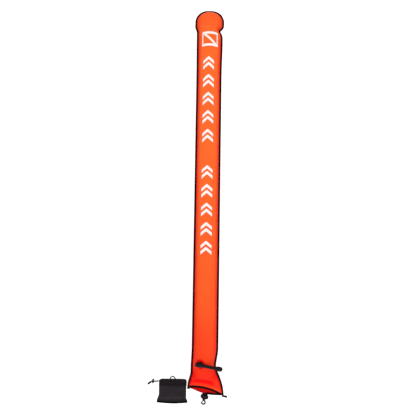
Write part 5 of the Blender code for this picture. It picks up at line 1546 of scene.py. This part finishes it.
SNAP_PLACE = Vector((0.0015, -0.925701, 0.0051))
SNAP_X = Vector((-0.97437, 0.22495, 0))
SNAP_Y = Vector((-0.22495, -0.97437, 0))
TAB_REACH = 0.0100
WEBBING_WIDTH = 0.0250
WEB_PITCH = 0.0022
EYE_BAR_RADIUS = 0.0025
EYE_HALF_WIDTH = 0.0180
EYE_BACK = -0.0030
EYE_SHOULDER = 0.0090
EYE_LENGTH = 0.0146
EYE_HALF = 0.0030
EYE_FOOT_HALF = 0.0085
WEB_SLOT_HALF = 0.0131
POCKET_HALF = 0.0037
BOSS_RADIUS = 0.0048
BOSS_END = 0.0160
STEM_RADIUS = 0.0022
COLLAR_TOP = 0.0187
HOOK_RADIUS = 0.0031
HOOK_HALF_WIDTH = 0.0091
HOOK_DEPTH = 0.0184
HOOK_THINNING = 0.14
GATE_PIVOT = Vector((0.0036, 0.0204, 0))
GATE_LENGTH = 0.0102
GATE_LEAN = math.atan(0.13)
PIN_HOLE_RADIUS = 0.0011
THROUGH = 0.01

web, tree, shader = start_material("nylon_webbing", 0.8, 0.04)
cloth, across, along = cloth_places(tree)
slanted = sum_of(tree, "ADD", along, sum_of(tree, "MULTIPLY", across, 0.35))
threads = woven(tree, across, slanted, WEB_PITCH)
feed(tree, shader, {"Base Color": blend_of(tree, threads["Shade"], "070506", "1a1719")})
bump(tree, shader, threads["Height"], 0.0003, 0.8)

snap_axes = Matrix((SNAP_X, SNAP_Y, Vector((0, 0, 1)))).transposed().to_4x4()
snap_frame = Matrix.Translation(SNAP_PLACE) @ snap_axes
web_turn = EYE_BAR_RADIUS + GAP + WEBBING / 2
web_low = GAP + WEBBING / 2 - SNAP_PLACE.z
web_high = web_low + WEBBING + GAP
sewn_end = -TAB_REACH - TAB_SEWN + LIP_TAPE_WIDTH
under_lip = -TAB_REACH + 0.0015
web_profile = straight((sewn_end, web_low), (under_lip, web_low), 14)[:-1]
for k in spaced(0, 1, 8)[:-1]:
    web_profile.append((mix(under_lip, 0.0, k), mix(web_low, -web_turn, smooth(k, 0, 1))))
web_profile += turn_towards((0.0, 0.0), web_turn, (under_lip, web_high), 18)
web_profile += straight(web_profile[-1], (under_lip, web_high), 8)[1:]
web_profile += straight((under_lip, web_high), (sewn_end, web_high), 14)[1:]
web_line = [snap_frame @ Vector((0, y, z)) for y, z in web_profile]
webbing = strap("line_webbing", web_line, SNAP_X, WEBBING_WIDTH, WEBBING, web)
dress(webbing, "bag", "webbing_tab")

def block(name, low, high, place):
    """A box between two corners of a frame."""
    bpy.ops.object.select_all(action="DESELECT")
    low, high = Vector(low), Vector(high)
    bpy.ops.mesh.primitive_cube_add(size=1.0, location=(low + high) / 2, scale=high - low)
    piece = bpy.context.object
    piece.name = name
    bpy.ops.object.transform_apply(location=True, rotation=True, scale=True)
    move_to(piece, place)
    return piece


def slice_off(piece, place, corner, other, away):
    """Cuts off what lies beyond an upright plane through two places of a frame."""
    one, two = place @ Vector((*corner, 0)), place @ Vector((*other, 0))
    normal = (two - one).cross(Vector((0, 0, 1))).normalized()
    if normal.dot(place.to_3x3() @ Vector((*away, 0))) < 0.0:
        normal = -normal
    select_only(piece)
    bpy.ops.object.mode_set(mode="EDIT")
    bpy.ops.mesh.select_all(action="SELECT")
    bpy.ops.mesh.bisect(plane_co=one, plane_no=normal, use_fill=True, clear_outer=True)
    bpy.ops.object.mode_set(mode="OBJECT")


def drill(piece, radius, place, low=-THROUGH, high=THROUGH, steps=24):
    """Drills a round hole about the z axis of a frame."""
    bit = turned("drill", [(radius, low), (radius, high)], place, steps)
    combine(piece, bit, "DIFFERENCE")


along_stem = snap_frame @ Matrix.Rotation(math.radians(-90), 4, "X")
across_eye = snap_frame @ Matrix.Rotation(math.radians(90), 4, "Y")

eye = block(
    "swivel_eye_moulding", (-EYE_HALF_WIDTH, EYE_BACK, -EYE_HALF),
    (EYE_HALF_WIDTH, EYE_LENGTH, EYE_HALF), snap_frame,
)
for hand in (-1, 1):
    shoulder, foot = (hand * EYE_HALF_WIDTH, EYE_SHOULDER), (hand * EYE_FOOT_HALF, EYE_LENGTH)
    slice_off(eye, snap_frame, shoulder, foot, (hand, 1.0))
for half, back, front in ((WEB_SLOT_HALF, -0.006, 0.0043), (POCKET_HALF, 0.0, 0.0079)):
    opening = block("opening", (-half, back, -THROUGH), (half, front, THROUGH), snap_frame)
    combine(eye, opening, "DIFFERENCE")
round_off(eye, 0.0007, 3)
bar = turned("bar", [(EYE_BAR_RADIUS, -0.0160), (EYE_BAR_RADIUS, 0.0160)], across_eye, 32)
combine(eye, bar, "UNION")
boss_outline = [
    (0.0042, 0.0084), (BOSS_RADIUS, 0.0090), (BOSS_RADIUS, 0.0124), (0.0045, 0.0127),
    (0.0045, 0.0133), (BOSS_RADIUS, 0.0136), (BOSS_RADIUS, BOSS_END - 0.0004),
    (BOSS_RADIUS - 0.0004, BOSS_END),
]
combine(eye, turned("boss", boss_outline, along_stem, 48), "UNION")
drill(eye, STEM_RADIUS + GAP, along_stem, 0.006, 0.017, 32)
finish_moulding(eye, "eye", "swivel_eye", plastic)

stem_outline = [
    (0.0026, 0.0048), (0.0034, 0.0054), (0.0034, 0.0077), (STEM_RADIUS, 0.0077),
    (STEM_RADIUS, BOSS_END + GAP), (BOSS_RADIUS - 0.0004, BOSS_END + GAP),
    (BOSS_RADIUS, BOSS_END + GAP + 0.0004), (BOSS_RADIUS, COLLAR_TOP - 0.0004),
    (BOSS_RADIUS - 0.0004, COLLAR_TOP),
]
hook = turned("snap_hook_moulding", stem_outline, along_stem, 48)
shank = block(
    "shank", (-0.0048, COLLAR_TOP - 0.0008, -0.0031), (0.0058, COLLAR_TOP + 0.0046, 0.0031),
    snap_frame,
)
for corner, other, away in (
    ((0.0058, 0.0030), (0.0036, 0.0046), (1, 1)), ((-0.0048, 0.0), (-0.0030, 0.0046), (-1, 0)),
):
    corner, other = ((x, COLLAR_TOP + y) for x, y in (corner, other))
    slice_off(shank, snap_frame, corner, other, away)
round_off(shank, 0.0006, 3)
combine(hook, shank, "UNION")
wide, deep = HOOK_HALF_WIDTH, HOOK_DEPTH
ring_route = [
    (-0.0008, 0.0), (-wide * 0.62, 0.0030), (-wide, deep * 0.42), (-wide * 0.94, deep * 0.78),
    (-wide * 0.36, deep), (wide * 0.42, deep * 0.97), (wide * 0.92, deep * 0.76),
    (wide, deep * 0.58),
]
ring_line = curve_through([(x, COLLAR_TOP + y, 0) for x, y in ring_route], 10)
bpy.ops.object.select_all(action="DESELECT")
ring_curve = bpy.data.curves.new("ring", "CURVE")
ring_curve.dimensions = "3D"
ring_curve.bevel_depth = HOOK_RADIUS
ring_curve.bevel_resolution = 6
ring_curve.use_fill_caps = True
ring_spline = ring_curve.splines.new("POLY")
ring_spline.points.add(len(ring_line) - 1)
for i, (point, place) in enumerate(zip(ring_spline.points, ring_line)):
    point.co = (*place, 1.0)
    point.radius = 1.0 - HOOK_THINNING * smooth(i, len(ring_line) * 0.6, len(ring_line) - 1)
    to_nose = max(0.0, 3.0 - (len(ring_line) - 1 - i)) / 3.2
    point.radius *= math.sqrt(1.0 - to_nose * to_nose)
ring = bpy.data.objects.new("ring", ring_curve)
bpy.context.scene.collection.objects.link(ring)
select_only(ring)
bpy.ops.object.convert(target="MESH")
ring = bpy.context.object
bpy.ops.object.mode_set(mode="EDIT")
bpy.ops.mesh.select_all(action="SELECT")
bpy.ops.mesh.remove_doubles(threshold=0.00001)
bpy.ops.mesh.normals_make_consistent(inside=False)
bpy.ops.object.mode_set(mode="OBJECT")
move_to(ring, snap_frame)
combine(hook, ring, "UNION")
gate_frame = snap_frame @ Matrix.Translation(GATE_PIVOT)
notch = block("notch", (-0.0036, -0.0021, -0.0016), (0.0060, 0.0060, 0.0016), gate_frame)
combine(hook, notch, "DIFFERENCE")
drill(hook, PIN_HOLE_RADIUS, gate_frame)
finish_moulding(hook, "hook", "snap_hook", plastic)

leaning = gate_frame @ Matrix.Rotation(-GATE_LEAN, 4, "Z")
gate = block(
    "snap_gate_moulding", (-0.0019, 0.0, -0.0012), (0.0011, GATE_LENGTH, 0.0012), leaning
)
round_off(gate, 0.0004)
root = turned("root", [
    (0.0016, -0.0013), (0.0018, -0.0011), (0.0018, 0.0011), (0.0016, 0.0013),
], gate_frame, 32)
combine(gate, root, "UNION")
drill(gate, PIN_HOLE_RADIUS, gate_frame)
finish_moulding(gate, "gate", "snap_gate", plastic)
pin = turned("gate_hinge_pin", [
    (0.0006, -0.0029), (0.0008, -0.0027), (0.0008, 0.0027), (0.0006, 0.0029),
], gate_frame, 24)
finish_moulding(pin, "hook", "gate_pin", dark_steel)


# The pouch: black nylon pack cloth, a front and a back panel sewn together at the
# sides, with a tape over the bottom seam and a hem round the mouth.

PANEL_BELOW_RIM = 0.0056
HEM_LEGS = (HEM_WIDTH, 0.0212, 0.018, 0.012, 0.006, 0.002, 0.0)
PACK_PITCH = 0.0012
POUCH_COLUMNS = 72


def pouch_crumple(from_bottom, u, side):
    """How far the pouch's cloth dips: slack folds that run up from the bottom seam,
    soft dents over the face and puckers under the hem."""
    clear = smooth(from_bottom, POUCH_SEAM, POUCH_SEAM + 0.012)
    clear *= smooth(POUCH_LENGTH - from_bottom, HEM_WIDTH, HEM_WIDTH + 0.010)
    face = smooth(1.0 - abs(u), 0.12, 0.4)
    slant = wave(u * 2.6 + from_bottom * 6.0, from_bottom * 16.0, side * 4.0)
    dent = wave(u * 5.0 - from_bottom * 14.0, from_bottom * 34.0, side * 8.0)
    low = 1.0 - smooth(from_bottom, 0.012, 0.045)
    gather = max(0.0, wave(u * 11.0, from_bottom * 9.0, side * 2.0)) * low
    return max(0.0, 0.0012 + 0.0018 * slant + 0.0010 * dent + 0.0022 * gather) * clear * face


def pack_cloth(name, dark, light, rows=()):
    """Black pack cloth with a visible weave, a dull coating and rows of stitches. The
    cloth without rows is darker along its bottom: painted shadow under the fold."""
    material, tree, shader = start_material(name, 0.72, 0.08)
    cloth, across, along = cloth_places(tree)
    weave = woven(tree, across, along, PACK_PITCH)
    worn = handled(tree, cloth, 32.0, 240.0)
    sunk = sum_of(tree, "MULTIPLY_ADD", weave["Height"], -0.35, 0.35)
    tone = blend_of(tree, sunk, blend_of(tree, worn["Shade"], dark, light), "0c0a0b")
    relief = bump(tree, shader, weave["Height"], 0.0001, 0.6)
    relief = bump(tree, shader, worn["Grain"], 0.0005, 0.25, relief)
    # Painted shadow: the face cloth darkens towards 100c0e along its bottom, as under the fold.
    if not rows:
        low = node(tree, "MapRange", {
            "Value": along, "From Min": 0.006, "From Max": 0.026, "To Min": 0.8, "To Max": 0.0,
        })
        tone = blend_of(tree, low.outputs["Result"], tone, "100c0e")
    for row in rows:
        stitch = stitches(tree, across, along, row)
        tone = blend_of(tree, stitch, tone, "3d383b")
        relief = bump(tree, shader, stitch, 0.0003, 0.8, relief)
    feed(tree, shader, {"Base Color": tone})
    return material


face_cloth = pack_cloth("pouch_cloth", "262124", "302a2f")
hem_rows = (POUCH_LENGTH - HEM_WIDTH + 0.0020, POUCH_LENGTH - 0.0088)
hem_cloth = pack_cloth("hem_cloth", "151115", "1d181c", hem_rows)

swell_end = POUCH_SEAM + POUCH_SWELL
pouch_heights = spaced(0.0, POUCH_SEAM, 4) + spaced(POUCH_SEAM, swell_end, 34)[1:]
pouch_heights += spaced(swell_end, POUCH_LENGTH - PANEL_BELOW_RIM, 34)[1:]
for panel_name, side in (("pouch_front", 1), ("pouch_back", -1)):
    points, flat = [], []
    for height in pouch_heights:
        row = pouch_row(height)
        for u in spaced(-1.0, 1.0, POUCH_COLUMNS):
            point = pouch_point(row, u, side, pouch_crumple(height, u, side))
            up = max(GAP / 2 + POUCH_WALL * 0.5, (point.z - row.middle) * side)
            point.z = row.middle + side * up if abs(u) < 1.0 else row.middle + side * GAP / 2
            points.append(point)
            flat.append((POUCH_HALF_WIDTH * u * 1.05, height))
    faces = grid_faces(len(pouch_heights), POUCH_COLUMNS + 1)
    panel = add_mesh(panel_name + "_panel", points, faces, [face_cloth], flat)
    face_up(panel, side)
    line_with_wall(panel, POUCH_WALL * 0.8)
    dress(panel, "pouch", panel_name)


def hem_section(u, side):
    """The hem's outline at a place round the mouth: an outer leg, a fold over the cord
    and a short inner leg."""
    legs = [pouch_row(POUCH_LENGTH - k) for k in HEM_LEGS]
    inner_legs = [pouch_row(POUCH_LENGTH - k) for k in (HEM_TURN_IN, HEM)]
    tunnel = 2 * CORD_RADIUS + GAP
    points = [pouch_point(row, u, side, -GAP - HEM) for row in legs]
    points.append(pouch_point(legs[-1], u, side, tunnel + HEM))
    points.append(pouch_point(inner_legs[0], u, side, tunnel + HEM))
    points += [pouch_point(row, u, side, tunnel) for row in inner_legs]
    points.append(pouch_point(inner_legs[1], u, side, -GAP))
    points += [pouch_point(row, u, side, -GAP) for row in reversed(legs[:-1])]
    return points


hem_places = [(u, 1) for u in spaced(-1.0, 1.0, 64)]
hem_places += [(u, -1) for u in spaced(1.0, -1.0, 64)[1:-1]]
sections = [hem_section(u, side) for u, side in hem_places]
size = len(sections[0])
points, flat = [], []
along = 0.0
for j, section in enumerate(sections):
    along += (section[0] - sections[j - 1][0]).length if j else 0.0
    points += section
    flat += [(along, POUCH_LENGTH - leg) for leg in HEM_LEGS]
    flat += [(along, POUCH_LENGTH + 0.004 * (k + 1)) for k in range(size - len(HEM_LEGS))]
faces = [
    tuple(i % len(points) for i in face) for face in grid_faces(len(sections) + 1, size, True)
]
hem = close_up(add_mesh("mouth_hem", points, faces, [hem_cloth], flat), 50)
exit_tall = (cord_row.thick - CORD_RADIUS) * math.sin(CORD_EXIT_ANGLE) + CORD_RADIUS + GAP
exit_middle = pouch_point(cord_row, -1.0, 1, CORD_RADIUS) + Vector((-0.0022, 0, 0))
exit_middle.y = pouch_point(cord_row, exit_u, 1, CORD_RADIUS).y
exit_half = Vector((0.0026, CORD_RADIUS + GAP, exit_tall))
cord_slot = block("cord_slot", exit_middle - exit_half, exit_middle + exit_half, Matrix())
combine(hem, cord_slot, "DIFFERENCE")
dress(hem, "pouch", "pouch_hem")

seam_row = pouch_row(0.0)
bottom_outline = folded_tape(GAP + TAPE, -POUCH_SEAM + 2 * GAP, 2 * seam_row.thick)
seam_places = [u for u in spaced(-1.0, 1.0, 60) if abs(u) < 1.0 - POUCH_SIDE_SHARE + 0.01]
seam_places[0], seam_places[-1] = POUCH_SIDE_SHARE - 1.0, 1.0 - POUCH_SIDE_SHARE
bottom_line = [pouch_point(seam_row, u, 1) for u in seam_places]
rings = []
for i, point in enumerate(bottom_line):
    step = bottom_line[min(i + 1, len(bottom_line) - 1)] - bottom_line[max(i - 1, 0)]
    out = Vector((step.y, -step.x, 0)).normalized()
    edge = Vector((point.x, point.y, seam_row.middle))
    rings.append([edge + out * a + Vector((0, 0, b)) for a, b in bottom_outline])
bottom_tape = tape_sweep("pouch_bottom_tape", rings, bottom_outline, plain_tape)
dress(bottom_tape, "pouch", "pouch_binding")


# The cord lock and the cord end: black mouldings on the two tails. A steel spring
# inside the lock presses its plunger against the cords.

LOCK_TIP = 0.0102
LOCK_TOP = 0.0068
LOCK_BORE_RADIUS = 0.0032
LOCK_SPRING_BORE_RADIUS = 0.0021
LOCK_STEP = -0.0063
LOCK_FLOOR = -0.0086
CORDS_HALF = 0.0028
CORDS_TALL = 0.0014
LOCK_TRAVEL = 0.0024
BUTTON = 0.0014
BUTTON_RADIUS = 0.0040
BUTTON_TIP = 0.0109
BUTTON_END = -CORDS_HALF - 0.0008
CORD_SOCKET_RADIUS = 0.0028
CORD_SOCKET_DEPTH = 0.0050

lock_frame = frame_along(LOCK_PLACE, (0, 1, 0), (1, 0, 0))
lock_outline = soft_outline([
    (0.0008, -LOCK_TIP), (LOCK_RADIUS * 0.45, -LOCK_TIP + 0.0004),
    (LOCK_RADIUS * 0.72, -LOCK_TIP * 0.82), (LOCK_RADIUS * 0.92, -LOCK_TIP * 0.54),
    (LOCK_RADIUS, -LOCK_TIP * 0.2), (LOCK_RADIUS, LOCK_TOP * 0.4),
    (LOCK_RADIUS * 0.96, 0.0048),
])
lock_outline += [
    (LOCK_RADIUS * 0.88, 0.0050), (LOCK_RADIUS * 0.88, 0.0054), (LOCK_RADIUS * 0.95, 0.0056),
    (LOCK_RADIUS * 0.93, LOCK_TOP - 0.0003), (LOCK_RADIUS * 0.86, LOCK_TOP),
    (LOCK_BORE_RADIUS, LOCK_TOP), (LOCK_BORE_RADIUS, LOCK_STEP),
    (LOCK_SPRING_BORE_RADIUS, LOCK_STEP), (LOCK_SPRING_BORE_RADIUS, LOCK_FLOOR),
]
lock_body = turned("lock_barrel", lock_outline, lock_frame, 48)
lock_middle = Matrix.Translation(LOCK_PLACE)
cord_hole = block(
    "cord_hole", (-THROUGH, -CORDS_HALF - 0.0003, -CORDS_TALL - 0.0002),
    (THROUGH, CORDS_HALF + 0.0003, CORDS_TALL + 0.0002), lock_middle,
)
combine(lock_body, cord_hole, "DIFFERENCE")
finish_moulding(lock_body, "lock", "cord_lock_body", plastic)

button_outline = [
    (LOCK_BORE_RADIUS - GAP, BUTTON_END), (LOCK_BORE_RADIUS - GAP, BUTTON_TIP - BUTTON),
    (BUTTON_RADIUS - 0.0002, BUTTON_TIP - BUTTON),
    (BUTTON_RADIUS, BUTTON_TIP - BUTTON + 0.0002),
    (BUTTON_RADIUS, BUTTON_TIP - 0.0005), (BUTTON_RADIUS * 0.93, BUTTON_TIP - 0.0002),
    (BUTTON_RADIUS * 0.8, BUTTON_TIP), (0.0016, BUTTON_TIP - 0.0003),
]
lock_button = turned("lock_button", button_outline, lock_frame, 48)
button_slot = block(
    "button_slot", (-THROUGH, -CORDS_HALF, -CORDS_TALL),
    (THROUGH, CORDS_HALF + LOCK_TRAVEL, CORDS_TALL), lock_middle,
)
combine(lock_button, button_slot, "DIFFERENCE")
finish_moulding(lock_button, "lock_button", "cord_lock_plunger", plastic)

spring_low, spring_high = LOCK_FLOOR + GAP, BUTTON_END - GAP
lock_spring = coil_spring(
    "lock_return_spring", LOCK_SPRING_BORE_RADIUS - GAP - 0.0003, 0.0006, spring_low,
    spring_high, 3, lock_frame,
)
finish_moulding(lock_spring, "lock", "cord_lock_spring", steel)
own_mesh(lock_spring)

end_outline = [
    (0.0010, CORD_SOCKET_DEPTH), (CORD_SOCKET_RADIUS, CORD_SOCKET_DEPTH),
    (CORD_SOCKET_RADIUS, 0.0), (0.0031, 0.0), (0.0034, 0.0003),
]
end_outline += soft_outline([
    (0.0036, 0.0010), (0.0040, 0.0028), (0.0044, 0.0060), (0.0046, 0.0096),
])
end_outline += [
    (0.0043, 0.0099), (0.0043, 0.0105), (0.0046, 0.0108), (0.0046, 0.0114),
    (0.0043, 0.0117), (0.0043, 0.0123), (0.0046, 0.0126),
]
end_outline += soft_outline([
    (0.0046, 0.0150), (0.0041, 0.0176), (0.0031, 0.0194), (0.0014, 0.0204),
])
end_outline += [(0.0005, 0.0205)]
end_frame = frame_along(CORD_END_PLACE, end_heading, (0, 0, 1))
cord_end = turned("cord_end_moulding", end_outline, end_frame, 40)
finish_moulding(cord_end, "pouch", "cord_end", plastic)
